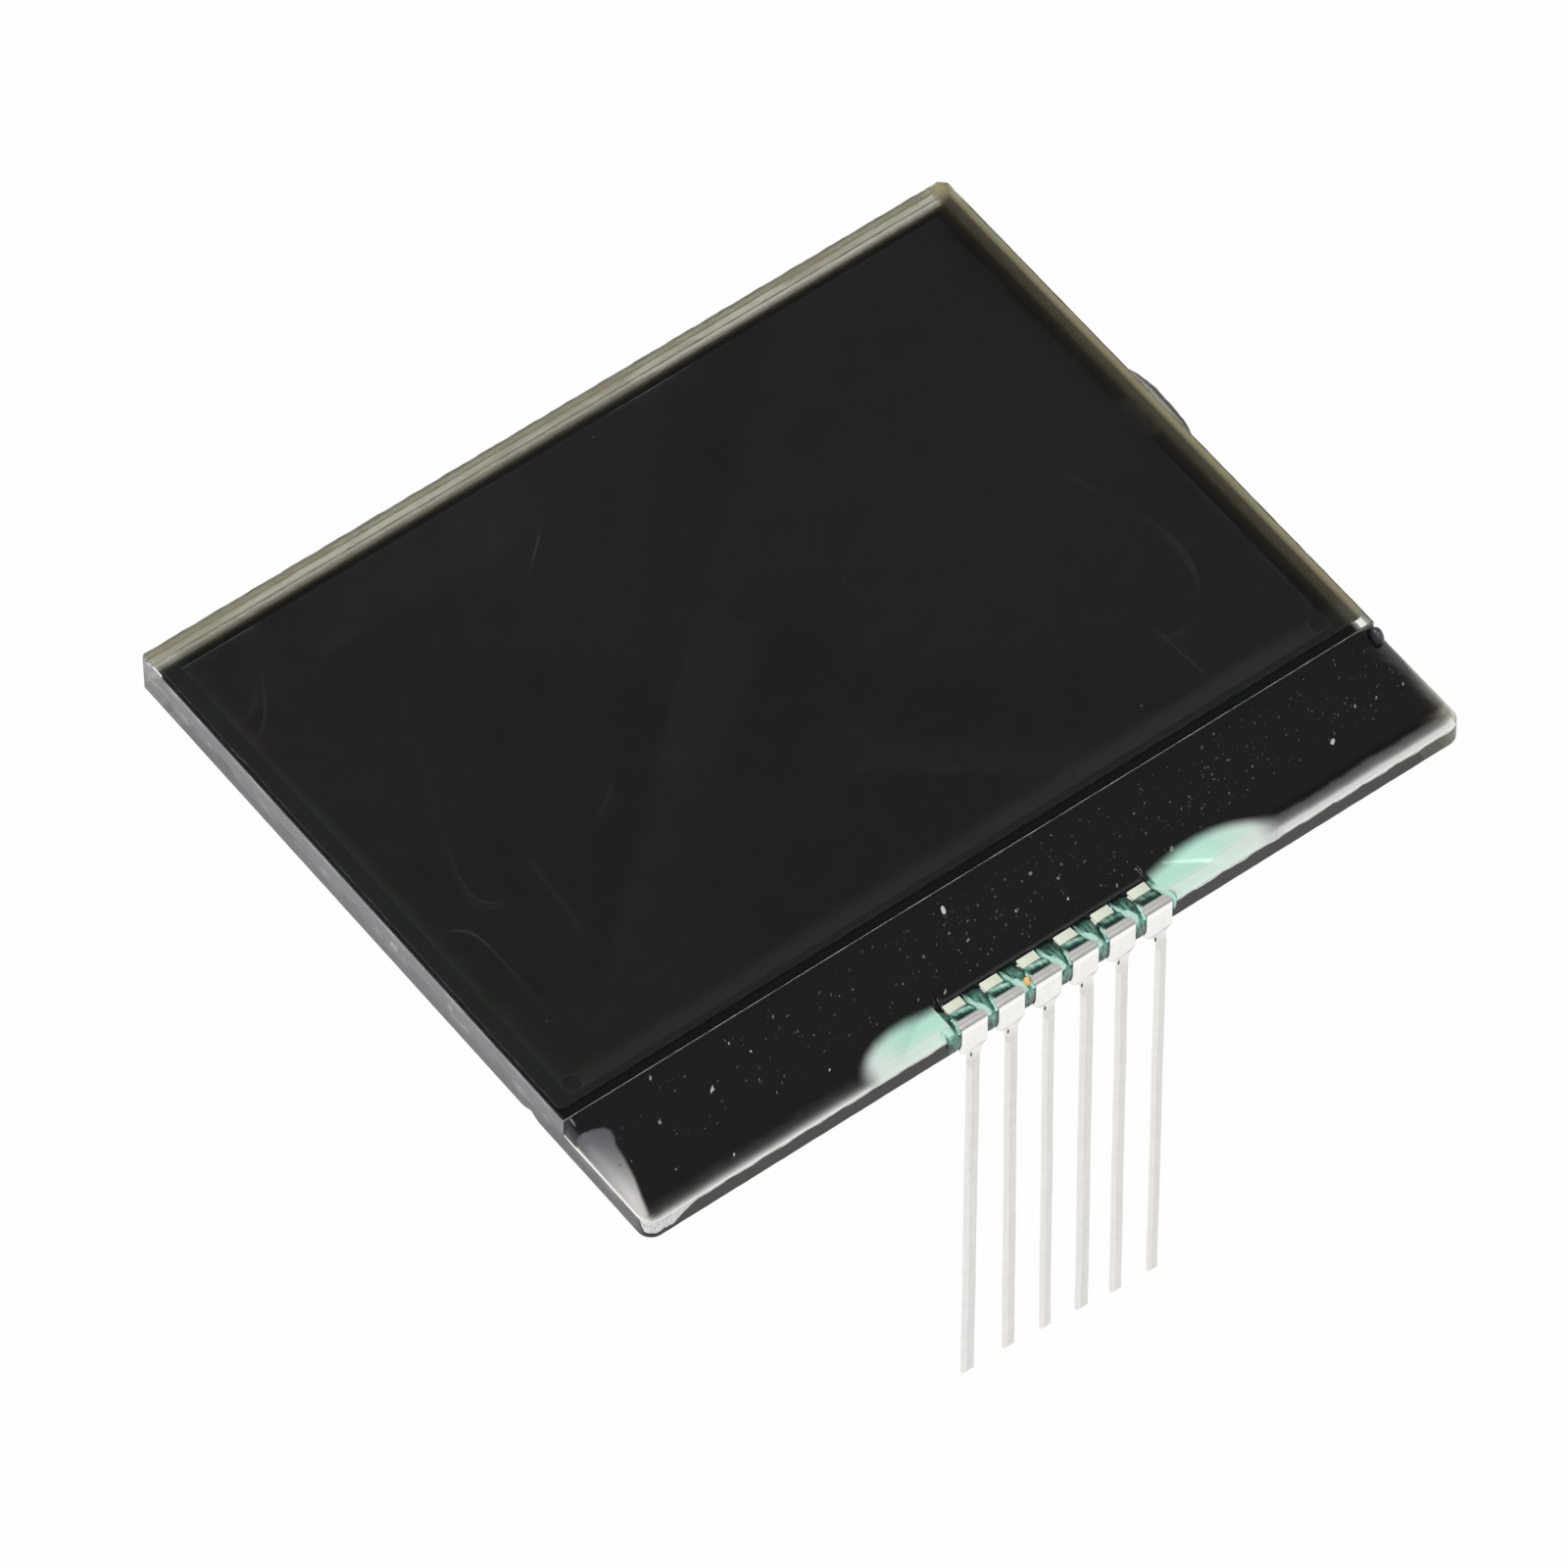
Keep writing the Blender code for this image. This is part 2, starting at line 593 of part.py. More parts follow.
def pin_strip(index, reach_down):
    """Loops of a pin's main strip: tab, arch, plate, shoulder and lead.

    reach_down is the lead's length below the shoulder.
    """
    tab, crest, shoulder, lead_start = pin_head_heights()
    crest_end = LEDGE_EDGE + ARCH_CREST_REACH
    corners = [(LEDGE_EDGE + TAB_TIP_REACH, tab, 0.0),
               (LEDGE_EDGE + TAB_TIP_REACH - TAB_LENGTH, tab, TAB_BEND_RADIUS),
               (crest_end, crest, CREST_BEND_RADIUS), (0.0, crest, PLATE_BEND_RADIUS),
               (0.0, lead_start, 0.0)]
    head = dense_path(rounded_path(corners, BEND_STEPS), STRIP_STEP)
    lead = np.array([[0.0, lead_start - reach_down * (step + 1) / LEAD_STEPS]
                     for step in range(LEAD_STEPS)])
    path = np.vstack([head, lead])
    wide = 1.0 - smooth_step(path[:, 0], crest_end, crest_end + CREST_BEND_RADIUS)
    upper = TAB_WIDTH / 2 + (PLATE_WIDTH - TAB_WIDTH) / 2 * wide
    right_share = smooth_step(path[:, 1], lead_start, shoulder)
    finger_level = REAR_GLASS_BOTTOM + FINGER_BEND_RADIUS
    left_share = smooth_step(path[:, 1], lead_start, finger_level)
    right = LEAD_WIDTH / 2 + (upper - LEAD_WIDTH / 2) * right_share
    left = LEAD_WIDTH / 2 + (upper - LEAD_WIDTH / 2) * left_share
    lean = LEAD_LEANS[index] * np.clip((lead_start - path[:, 1]) / LEAD_LENGTH, 0.0, 1.0)
    centre = pin_centre(index) + lean
    return strip_loops(path, centre - left, centre + right, PIN_THICKNESS)


def finger_loops(index):
    """Loops of a pin's lower finger, which passes under the glass."""
    _, _, shoulder, _ = pin_head_heights()
    under = REAR_GLASS_BOTTOM - PIN_GLASS_CLEARANCE - PIN_THICKNESS / 2
    corners = [(0.0, shoulder, 0.0), (0.0, under, PLATE_BEND_RADIUS),
               (LEDGE_EDGE + FINGER_REACH / 2, under, FINGER_BEND_RADIUS),
               (LEDGE_EDGE + FINGER_REACH, under - FINGER_TIP_DROP, 0.0)]
    path = dense_path(rounded_path(corners, BEND_STEPS), FINGER_STEP)
    left = np.full(len(path), pin_centre(index) - PLATE_WIDTH / 2 + FINGER_INSET)
    return strip_loops(path, left, left + FINGER_WIDTH, PIN_THICKNESS - 2 * FINGER_INSET)


def build_pins(material):
    """Six folded strips that clip over the ledge's outer edge."""
    for index in range(PIN_COUNT):
        number = str(index + 1)
        reach_down = LEAD_LENGTH - LEAD_SHORT_CUTS[index]
        pin = loft("terminal_pin_" + number, pin_strip(index, reach_down), material)
        add_on(pin, loft("finger_" + number, finger_loops(index), material))


def pin_row_half():
    """Half the length of the pin row, out to the last plate's side."""
    return PIN_PITCH * (PIN_COUNT - 1) / 2 + PLATE_WIDTH / 2


def glue_span():
    """Where the bead starts and ends along X."""
    reach = pin_row_half() + GLUE_END_REACH
    return -reach, reach


def pin_slot_outline(index):
    """Plan outline of the room for a pin's head in the bead: wide at its plate, then narrow."""
    centre = pin_centre(index)
    plate = PLATE_WIDTH / 2 + GLUE_PIN_CLEARANCE
    tab = TAB_WIDTH / 2 + GLUE_PIN_CLEARANCE
    outside = LEDGE_EDGE - 2 * GLUE_SADDLE_OUT
    plate_end = LEDGE_EDGE + ARCH_CREST_REACH + CREST_BEND_RADIUS + GLUE_PIN_CLEARANCE
    tab_end = LEDGE_EDGE + TAB_TIP_REACH + GLUE_PIN_CLEARANCE
    return [(centre - plate, outside), (centre + plate, outside), (centre + plate, plate_end),
            (centre + tab, plate_end), (centre + tab, tab_end), (centre - tab, tab_end),
            (centre - tab, plate_end), (centre - plate, plate_end)]


def build_pin_slots(material):
    """One cutter that makes the room for every pin's head."""
    levels = (REAR_GLASS_BOTTOM, LEDGE_TOP + 2 * GLUE_SADDLE_HEIGHT)
    vertices = []
    faces = []
    for index in range(PIN_COUNT):
        outline = pin_slot_outline(index)
        count = len(outline)
        start = len(vertices)
        vertices += [(x, y, z) for z in levels for x, y in outline]
        faces += [[start + step for step in range(count)],
                  [start + count + step for step in range(count)]]
        faces += [[start + step, start + (step + 1) % count,
                   start + count + (step + 1) % count, start + count + step]
                  for step in range(count)]
    return add_object("pin_slots", vertices, faces, material)


def build_glue_saddle(row_half, material):
    """The bead's part that stands over the ledge's edge and down its wall."""
    wall = LEDGE_EDGE - GLUE_PIN_CLEARANCE
    low = LEDGE_TOP + COAT_RIM_THICKNESS / 2
    outer = LEDGE_EDGE - GLUE_SADDLE_OUT
    bottom = REAR_GLASS_BOTTOM + GLUE_SADDLE_BOTTOM_LIFT
    inner = LEDGE_EDGE + GLUE_SADDLE_INNER_REACH
    round_corners = [(inner, low + GLUE_PIN_HEIGHT / 2, 0.0),
                     (LEDGE_EDGE, LEDGE_TOP + GLUE_SADDLE_HEIGHT, GLUE_SADDLE_ROUND),
                     (outer, LEDGE_TOP, GLUE_SADDLE_ROUND), (outer, bottom, GLUE_SADDLE_ROUND),
                     (wall, bottom, 0.0)]
    section = [(inner, low), *rounded_path(round_corners, BEND_STEPS), (wall, low)]
    half = row_half + GLUE_SADDLE_OVERHANG
    return loft("saddle", [[(x, y, z) for y, z in section] for x in (-half, half)], material)


def build_glue_bead(material):
    """One bead of adhesive on the ledge's edge, cast round the pins' heads."""
    start, end = glue_span()
    row_half = pin_row_half()
    near = LEDGE_EDGE + COAT_MARGIN
    far = LEDGE_EDGE + GLUE_DEPTH
    y = near + (far - near) * crowded_ends(GLUE_ROWS, GLUE_ROW_CROWDING)[:, None]
    side = GLUE_END_REACH * crowded_ends(GLUE_END_COLUMNS, GLUE_COLUMN_CROWDING)
    x, y = np.broadcast_arrays(np.concatenate([start + side, row_half + side])[None, :], y)
    outside = smooth_step(np.abs(x), row_half, row_half + GLUE_FADE_LENGTH)
    taper = quarter_round(np.minimum(x - start, end - x), GLUE_END_ROLL)
    full = GLUE_PIN_HEIGHT + (GLUE_END_HEIGHT * taper - GLUE_PIN_HEIGHT) * outside
    rim = np.minimum(COAT_RIM_THICKNESS, full)
    height = rim + (full - rim) * quarter_round(y - near, COAT_FRONT_ROLL)
    bead = height_solid("pin_glue_bead", x, y, LEDGE_TOP + height, LEDGE_TOP, material)
    add_on(bead, build_glue_saddle(row_half, material))
    cut_away(bead, build_pin_slots(material))
    return bead


def build_display():
    """Make every piece of the display."""
    clear_scene()
    clear_glass = glass_material()
    build_rear_glass(clear_glass)
    build_front_glass(clear_glass)
    build_perimeter_seal(seal_material())
    build_liquid_crystal(crystal_material())
    build_transfer_dots(dot_material())
    build_end_seal_plug(plug_material())
    build_front_polariser(front_film_material())
    build_rear_polariser(rear_film_material())
    build_chip(silicon_material(), bond_film_material())
    build_ledge_coat(coat_material())
    build_pins(pin_material())
    build_glue_bead(glue_material())


build_display()
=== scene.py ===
"""Looks of a chip-on-glass display panel with a potted ledge and six edge pins.

The part lies as its frame gives it: X runs along the pin row, Y from the ledge's outer edge to the
far edge, and Z along the display's normal. Everything is in metres. MM turns millimetres into them.
"""
import logging
import math
from collections.abc import Callable
from dataclasses import dataclass, field
from enum import Enum

import bmesh
import bpy
import numpy as np
from mathutils import Matrix, Vector


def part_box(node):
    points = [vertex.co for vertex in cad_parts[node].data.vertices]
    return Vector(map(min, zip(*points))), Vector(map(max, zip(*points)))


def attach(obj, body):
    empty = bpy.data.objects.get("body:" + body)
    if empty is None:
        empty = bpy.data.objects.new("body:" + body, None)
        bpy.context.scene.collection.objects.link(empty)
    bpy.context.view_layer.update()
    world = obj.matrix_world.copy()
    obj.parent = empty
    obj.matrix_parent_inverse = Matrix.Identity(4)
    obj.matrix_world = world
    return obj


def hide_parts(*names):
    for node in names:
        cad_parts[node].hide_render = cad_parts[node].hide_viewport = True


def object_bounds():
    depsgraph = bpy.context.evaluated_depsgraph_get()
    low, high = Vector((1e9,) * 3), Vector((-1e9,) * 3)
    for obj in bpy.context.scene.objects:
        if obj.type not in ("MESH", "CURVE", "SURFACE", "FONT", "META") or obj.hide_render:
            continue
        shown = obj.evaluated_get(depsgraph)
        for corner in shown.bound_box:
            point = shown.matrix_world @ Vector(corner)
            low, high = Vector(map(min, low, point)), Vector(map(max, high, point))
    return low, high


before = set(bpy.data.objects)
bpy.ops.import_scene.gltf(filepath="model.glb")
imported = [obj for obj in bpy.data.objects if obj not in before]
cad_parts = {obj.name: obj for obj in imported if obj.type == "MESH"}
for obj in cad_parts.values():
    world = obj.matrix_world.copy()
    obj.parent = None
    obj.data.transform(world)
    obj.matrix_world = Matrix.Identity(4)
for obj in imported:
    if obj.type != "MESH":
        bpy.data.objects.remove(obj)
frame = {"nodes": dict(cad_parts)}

CAD_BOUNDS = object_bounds()
BODY = "root"
MM = 0.001
LOG = logging.getLogger("display_panel")
Colour = tuple[float, float, float]


class Slot(Enum):
    """Material slots of the record, one of which is passed with each new piece."""

    GLASS = "clear_glass"
    FRONT_FILM = "front_film"
    REAR_FILM = "rear_film"
    SEAL = "seal_epoxy"
    PLUG = "plug_adhesive"
    COAT = "ledge_coat"
    METAL = "tinned_bronze"
    GEL = "uv_adhesive"


def smooth_step(value: np.ndarray, low: float, high: float) -> np.ndarray:
    """Rise smoothly from 0 at low to 1 at high: 3s² - 2s³ of the clipped share s."""
    share = np.clip((value - low) / (high - low), 0.0, 1.0)
    return share * share * (3.0 - 2.0 * share)


def quarter_round(distance: np.ndarray, reach: float) -> np.ndarray:
    """Height share of a rounded edge: the square root of 1 - (1 - d/reach)²."""
    share = np.clip(distance / reach, 0.0, 1.0)
    return np.sqrt(np.clip(1.0 - (1.0 - share) ** 2, 0.0, 1.0))


def waver(along: np.ndarray, seed: int, longest: float, octaves: int = 4) -> np.ndarray:
    """Smooth uneven line between about -1 and 1: sines of falling length and seeded phase.

    Args:
        along: places at which the line is read.
        seed: picks the phases.
        longest: length of the longest wave.
        octaves: how many waves, each about 0.45 times as long and 0.62 times as high as the last.

    Returns:
        The line's value at each place.
    """
    random = np.random.default_rng(seed)
    total = np.zeros_like(along, dtype=float)
    length, height = longest, 0.6
    for _ in range(octaves):
        total += height * np.sin(2.0 * np.pi * (along / length + random.random()))
        length *= 0.45
        height *= 0.62
    return total


def finish_mesh(item: bpy.types.Object, smooth_angle: float) -> None:
    """Turn the faces outwards, shade them smooth and keep edges sharper than the angle."""
    shell = bmesh.new()
    shell.from_mesh(item.data)
    bmesh.ops.recalc_face_normals(shell, faces=shell.faces)
    shell.to_mesh(item.data)
    shell.free()
    item.data.shade_smooth()
    item.data.set_sharp_from_angle(angle=math.radians(smooth_angle))


def new_piece(name: str, vertices: np.ndarray, faces: list[list[int]],
              smooth_angle: float = 35.0) -> bpy.types.Object:
    """Make an object from points and faces, with its place in its mesh.

    Args:
        name: the object's name.
        vertices: points, one row each.
        faces: indices of each face's corners.
        smooth_angle: edges sharper than this many degrees stay sharp.

    Returns:
        The new object.
    """
    mesh = bpy.data.meshes.new(name)
    mesh.from_pydata(vertices.tolist(), [], faces)
    item = bpy.data.objects.new(name, mesh)
    bpy.context.scene.collection.objects.link(item)
    finish_mesh(item, smooth_angle)
    return item


def loop_faces(rows: int, columns: int, start: int = 0) -> list[list[int]]:
    """Faces of a tube of closed loops: a quad between neighbours, and a cap at each end.

    Args:
        rows: how many loops.
        columns: how many points in a loop.
        start: index of the first point.

    Returns:
        Corner indices, row by row, with the two caps last.
    """
    index = start + np.arange(rows * columns).reshape(rows, columns)
    ahead = np.roll(index, -1, axis=1)
    quads = np.stack([index[:-1], ahead[:-1], ahead[1:], index[1:]], axis=-1).reshape(-1, 4)
    return quads.tolist() + [index[0, ::-1].tolist(), index[-1].tolist()]


def loft(name: str, points: np.ndarray, smooth_angle: float = 35.0) -> bpy.types.Object:
    """Join closed loops, one per row of points, into a body with two caps."""
    rows, columns = points.shape[:2]
    return new_piece(name, points.reshape(-1, 3), loop_faces(rows, columns), smooth_angle)


def lofts(name: str, bodies: list[np.ndarray], smooth_angle: float = 35.0) -> bpy.types.Object:
    """Several lofted bodies in one object."""
    vertices, faces, start = [], [], 0
    for points in bodies:
        rows, columns = points.shape[:2]
        vertices.append(points.reshape(-1, 3))
        faces += loop_faces(rows, columns, start)
        start += rows * columns
    return new_piece(name, np.vstack(vertices), faces, smooth_angle)


def set_attribute(item: bpy.types.Object, name: str, values: np.ndarray) -> None:
    """Store one number for each point of a mesh."""
    layer = item.data.attributes.new(name, "FLOAT", "POINT")
    layer.data.foreach_set("value", values.astype(np.float32).ravel())


def height_body(x: np.ndarray, y: np.ndarray, top: np.ndarray, bottom: np.ndarray) -> np.ndarray:
    """Loops of a body between two height grids: out along the top, back along the bottom.

    Args:
        x: plan places, one row for each loop.
        y: plan places of the same shape.
        top: upper heights.
        bottom: lower heights.

    Returns:
        Points of shape (rows, twice the columns, 3).
    """
    upper = np.stack([x, y, top], axis=-1)
    lower = np.stack([x, y, bottom], axis=-1)
    return np.concatenate([upper, lower[:, ::-1]], axis=1)


def flake_rings(random: np.random.Generator, x: float, y: float, size: float,
                level: Callable[[np.ndarray, np.ndarray], np.ndarray]) -> np.ndarray:
    """An uneven flat lens that lies on a surface, longer along one slanting direction.

    It has three rings of seven points each: below the surface, on it and a little above it.

    Args:
        random: source of its unevenness.
        x: its place.
        y: its place.
        size: its length.
        level: gives the surface's height at places in plan.

    Returns:
        Points of shape (3, 7, 3).
    """
    angle = np.arange(7) * 2.0 * math.pi / 7.0 + random.random() * 6.28
    radius = size / 2 * (0.35 + 0.75 * random.random(7))
    turn = math.radians(53.0) + 0.9 * (random.random() - 0.5)
    along = radius * np.cos(angle)
    across = radius * np.sin(angle) * (0.32 + 0.35 * random.random())
    spread_x = along * math.cos(turn) - across * math.sin(turn)
    spread_y = along * math.sin(turn) + across * math.cos(turn)
    rings = []
    for grow, rise in ((0.7, -0.02 * MM), (1.0, 0.002 * MM), (0.6, 0.016 * MM)):
        ring_x, ring_y = x + spread_x * grow, y + spread_y * grow
        rings.append(np.stack([ring_x, ring_y, level(ring_x, ring_y) + rise], axis=1))
    return np.stack(rings)


def uneven_ball(centre: Colour, radii: Colour, ripple: float) -> np.ndarray:
    """Stacked rings of a ball whose radius ripples three times round its axis."""
    rise = np.linspace(-math.pi / 2, math.pi / 2, 11)[1:-1]
    angle = np.linspace(0.0, 2.0 * math.pi, 17)[:-1]
    radius = np.cos(rise)[:, None] * (1.0 + ripple * np.sin(3.0 * angle + 1.0))[None, :]
    return np.stack([centre[0] + radii[0] * radius * np.cos(angle)[None, :],
                     centre[1] + radii[1] * radius * np.sin(angle)[None, :],
                     centre[2] + radii[2] * np.sin(rise)[:, None] * np.ones_like(radius)],
                    axis=-1)


@dataclass(frozen=True)
class Layout:
    """The places that the frame gives, in metres."""

    left: float
    front_right: float
    rear_right: float
    ledge_edge: float
    front_near: float
    far: float
    ledge_top: float
    front_bottom: float
    front_top: float
    rear_bottom: float

    @classmethod
    def from_frame(cls) -> "Layout":
        """Read the boxes of both sheets."""
        front_low, front_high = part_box("front_glass")
        rear_low, rear_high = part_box("rear_glass")
        return cls(left=front_low[0], front_right=front_high[0], rear_right=rear_high[0],
                   ledge_edge=rear_low[1], front_near=front_low[1], far=front_high[1],
                   ledge_top=rear_high[2], front_bottom=front_low[2], front_top=front_high[2],
                   rear_bottom=rear_low[2])


class Wiring:
    """Shorthand for adding and joining shader nodes in one tree."""

    def __init__(self, tree: bpy.types.NodeTree) -> None:
        """Keep the tree that the nodes go to."""
        self.tree = tree

    def add(self, kind: str, **settings: object) -> bpy.types.Node:
        """Add a node and set its own properties."""
        node = self.tree.nodes.new(kind)
        for name, value in settings.items():
            setattr(node, name, value)
        return node

    def feed(self, socket: bpy.types.NodeSocket, value: object) -> None:
        """Join a socket to another one, or give it a plain value."""
        if isinstance(value, bpy.types.NodeSocket):
            self.tree.links.new(value, socket)
        else:
            socket.default_value = value

    def math(self, operation: str, *values: object) -> bpy.types.NodeSocket:
        """Work out one number from others."""
        node = self.add("ShaderNodeMath", operation=operation)
        for socket, value in zip(node.inputs, values):
            self.feed(socket, value)
        return node.outputs[0]

    def span(self, value: object, low: float, high: float, start: float = 0.0,
             end: float = 1.0) -> bpy.types.NodeSocket:
        """Carry a value smoothly from the range low to high over to start to end."""
        node = self.add("ShaderNodeMapRange", interpolation_type="SMOOTHSTEP")
        for socket, given in zip(node.inputs, (value, low, high, start, end)):
            self.feed(socket, given)
        return node.outputs["Result"]

    def blend(self, share: object, first: object, second: object) -> bpy.types.NodeSocket:
        """Mix two colours by a share."""
        node = self.add("ShaderNodeMix", data_type="RGBA")
        self.feed(node.inputs[0], share)
        self.feed(node.inputs[6], first if hasattr(first, "node") else (*first, 1.0))
        self.feed(node.inputs[7], second if hasattr(second, "node") else (*second, 1.0))
        return node.outputs[2]

    def fill(self, node: bpy.types.Node, **values: object) -> bpy.types.Node:
        """Feed a node's inputs, whose names have spaces for underscores."""
        for name, value in values.items():
            self.feed(node.inputs[name.replace("_", " ")], value)
        return node

    def place(self) -> bpy.types.NodeSocket:
        """Object coordinates of the shaded point."""
        return self.add("ShaderNodeTexCoord").outputs["Object"]

    def plan(self) -> tuple[bpy.types.NodeSocket, bpy.types.NodeSocket]:
        """X and Y of the shaded point."""
        split = self.add("ShaderNodeSeparateXYZ")
        self.feed(split.inputs[0], self.place())
        return split.outputs["X"], split.outputs["Y"]

    def stretched(self, vector: object, scale: Colour,
                  turn: Colour = (0.0, 0.0, 0.0)) -> bpy.types.NodeSocket:
        """Scale and turn a vector."""
        turned = tuple(math.radians(angle) for angle in turn)
        return self.fill(self.add("ShaderNodeMapping"), Vector=vector, Rotation=turned,
                         Scale=scale).outputs[0]

    def noise(self, vector: object, scale: float, detail: float = 2.0,
              distortion: float = 0.0) -> bpy.types.NodeSocket:
        """Fractal noise around one half."""
        return self.fill(self.add("ShaderNodeTexNoise"), Vector=vector, Scale=scale, Detail=detail,
                         Distortion=distortion).outputs[0]

    def attribute(self, name: str) -> bpy.types.NodeSocket:
        """A number stored on the mesh."""
        return self.add("ShaderNodeAttribute", attribute_name=name).outputs["Fac"]

    def group(self, tree: bpy.types.NodeTree, **inputs: object) -> bpy.types.Node:
        """Place a shared group and feed its inputs."""
        return self.fill(self.add("ShaderNodeGroup", node_tree=tree), **inputs)

    def bump(self, height: object, strength: float, distance: float) -> bpy.types.NodeSocket:
        """Turn a height into a normal."""
        return self.fill(self.add("ShaderNodeBump"), Strength=strength, Distance=distance,
                         Height=height).outputs["Normal"]


class SharedEffects:
    """Node groups that several finishes use."""

    def __init__(self) -> None:
        """Build each group once."""
        self.border = self._border()
        self.hairlines = self._hairlines()
        self.mottle = self._mottle()
        self.dust = self._dust()

    @staticmethod
    def _start(name: str, inputs: dict[str, float], outputs: tuple[str, ...]
               ) -> tuple[bpy.types.NodeTree, Wiring, bpy.types.Node, bpy.types.Node]:
        """Open a group with number sockets.

        Args:
            name: the group's name.
            inputs: default value of each input.
            outputs: names of the outputs.

        Returns:
            The tree, its wiring, and its input and output nodes.
        """
        tree = bpy.data.node_groups.new(name, "ShaderNodeTree")
        for label, value in inputs.items():
            socket = tree.interface.new_socket(label, in_out="INPUT", socket_type="NodeSocketFloat")
            socket.default_value = value
        for label in outputs:
            tree.interface.new_socket(label, in_out="OUTPUT", socket_type="NodeSocketFloat")
        wiring = Wiring(tree)
        return tree, wiring, wiring.add("NodeGroupInput"), wiring.add("NodeGroupOutput")

    def _border(self) -> bpy.types.NodeTree:
        """Distance in plan to the nearest side of a rectangle."""
        sides = {"Left": 0.0, "Right": 0.0, "Near": 0.0, "Far": 0.0}
        tree, wiring, entry, result = self._start("border_distance", sides, ("Distance",))
        x, y = wiring.plan()
        across = wiring.math("MINIMUM", wiring.math("SUBTRACT", x, entry.outputs["Left"]),
                             wiring.math("SUBTRACT", entry.outputs["Right"], x))
        along = wiring.math("MINIMUM", wiring.math("SUBTRACT", y, entry.outputs["Near"]),
                            wiring.math("SUBTRACT", entry.outputs["Far"], y))
        wiring.feed(result.inputs["Distance"], wiring.math("MINIMUM", across, along))
        return tree

    def _hairlines(self) -> bpy.types.NodeTree:
        """Fine scratches: thin contour lines of slow noises, broken up by another noise."""
        tree, wiring, entry, result = self._start(
            "hairline_scratches", {"Scale": 60.0, "Width": 0.002}, ("Mask",))
        total = None
        for turn, stretch in ((12.0, 0.35), (64.0, 0.5), (118.0, 0.28)):
            run = wiring.stretched(wiring.place(), (1.0, stretch, 1.0), (0.0, 0.0, turn))
            field_value = wiring.noise(run, entry.outputs["Scale"], 0.0, 0.4)
            offset = wiring.math("ABSOLUTE", wiring.math("SUBTRACT", field_value, 0.5))
            line = wiring.math("LESS_THAN", offset, entry.outputs["Width"])
            gate = wiring.span(wiring.noise(run, 190.0, 1.0), 0.52, 0.62)
            broken = wiring.math("MULTIPLY", line, gate)
            total = broken if total is None else wiring.math("MAXIMUM", total, broken)
        wiring.feed(result.inputs["Mask"], total)
        return tree

    def _mottle(self) -> bpy.types.NodeTree:
        """Slow unevenness between 0 and 1."""
        tree, wiring, entry, result = self._start("mottle", {"Scale": 100.0}, ("Value",))
        value = wiring.noise(wiring.place(), entry.outputs["Scale"], 3.0, 0.3)
        wiring.feed(result.inputs["Value"], wiring.span(value, 0.3, 0.7))
        return tree

    def _dust(self) -> bpy.types.NodeTree:
        """Small round specks, each in its own cell, where the cell's own noise is high."""
        tree, wiring, entry, result = self._start(
            "dust", {"Scale": 2500.0, "Amount": 0.1}, ("Mask",))
        cells = wiring.add("ShaderNodeTexVoronoi")
        wiring.feed(cells.inputs["Vector"], wiring.place())
        wiring.feed(cells.inputs["Scale"], entry.outputs["Scale"])
        near = wiring.span(cells.outputs["Distance"], 0.12, 0.3, 1.0, 0.0)
        split = wiring.add("ShaderNodeSeparateColor")
        wiring.feed(split.inputs[0], cells.outputs["Color"])
        chosen = wiring.math("LESS_THAN", split.outputs[0], entry.outputs["Amount"])
        wiring.feed(result.inputs["Mask"], wiring.math("MULTIPLY", near, chosen))
        return tree


def principled(name: str) -> tuple[bpy.types.Material, Wiring, bpy.types.Node]:
    """Start a material.

    Args:
        name: the material's name.

    Returns:
        The material, its wiring and its Principled node.
    """
    material = bpy.data.materials.new(name)
    material.use_nodes = True
    wiring = Wiring(material.node_tree)
    return material, wiring, material.node_tree.nodes["Principled BSDF"]


@dataclass(frozen=True)
class ClearGlass:
    """Float glass with faint smears."""

    name: str = "clear_float_glass"
    colour: Colour = (0.975, 0.98, 0.955)
    clearness: float = 1.0
    roughness: float = 0.03
    index: float = 1.52

    def build(self, effects: SharedEffects) -> bpy.types.Material:
        """Return the material."""
        material, wiring, shader = principled(self.name)
        smear_and_reflection = wiring.group(effects.mottle, Scale=350.0).outputs[0]
        wiring.fill(shader, IOR=self.index, Transmission_Weight=self.clearness,
                    Base_Color=(*self.colour, 1.0),
                    Roughness=wiring.span(smear_and_reflection, 0.0, 1.0, 0.5 * self.roughness, self.roughness))
        return material


@dataclass(frozen=True)
class GroundEdge:
    """Ground and broken glass, whitish and rough."""

    name: str
    pale: Colour
    dull: Colour

    def build(self, effects: SharedEffects) -> bpy.types.Material:
        """Return the material."""
        material, wiring, shader = principled(self.name)
        fine = wiring.noise(wiring.place(), 9000.0, 3.0)
        wiring.fill(shader, Base_Color=wiring.blend(wiring.span(fine, 0.35, 0.6), self.dull, self.pale),
                    Roughness=wiring.span(fine, 0.3, 0.7, 0.3, 0.6),
                    Normal=wiring.bump(fine, 0.6, 0.02 * MM))
        return material


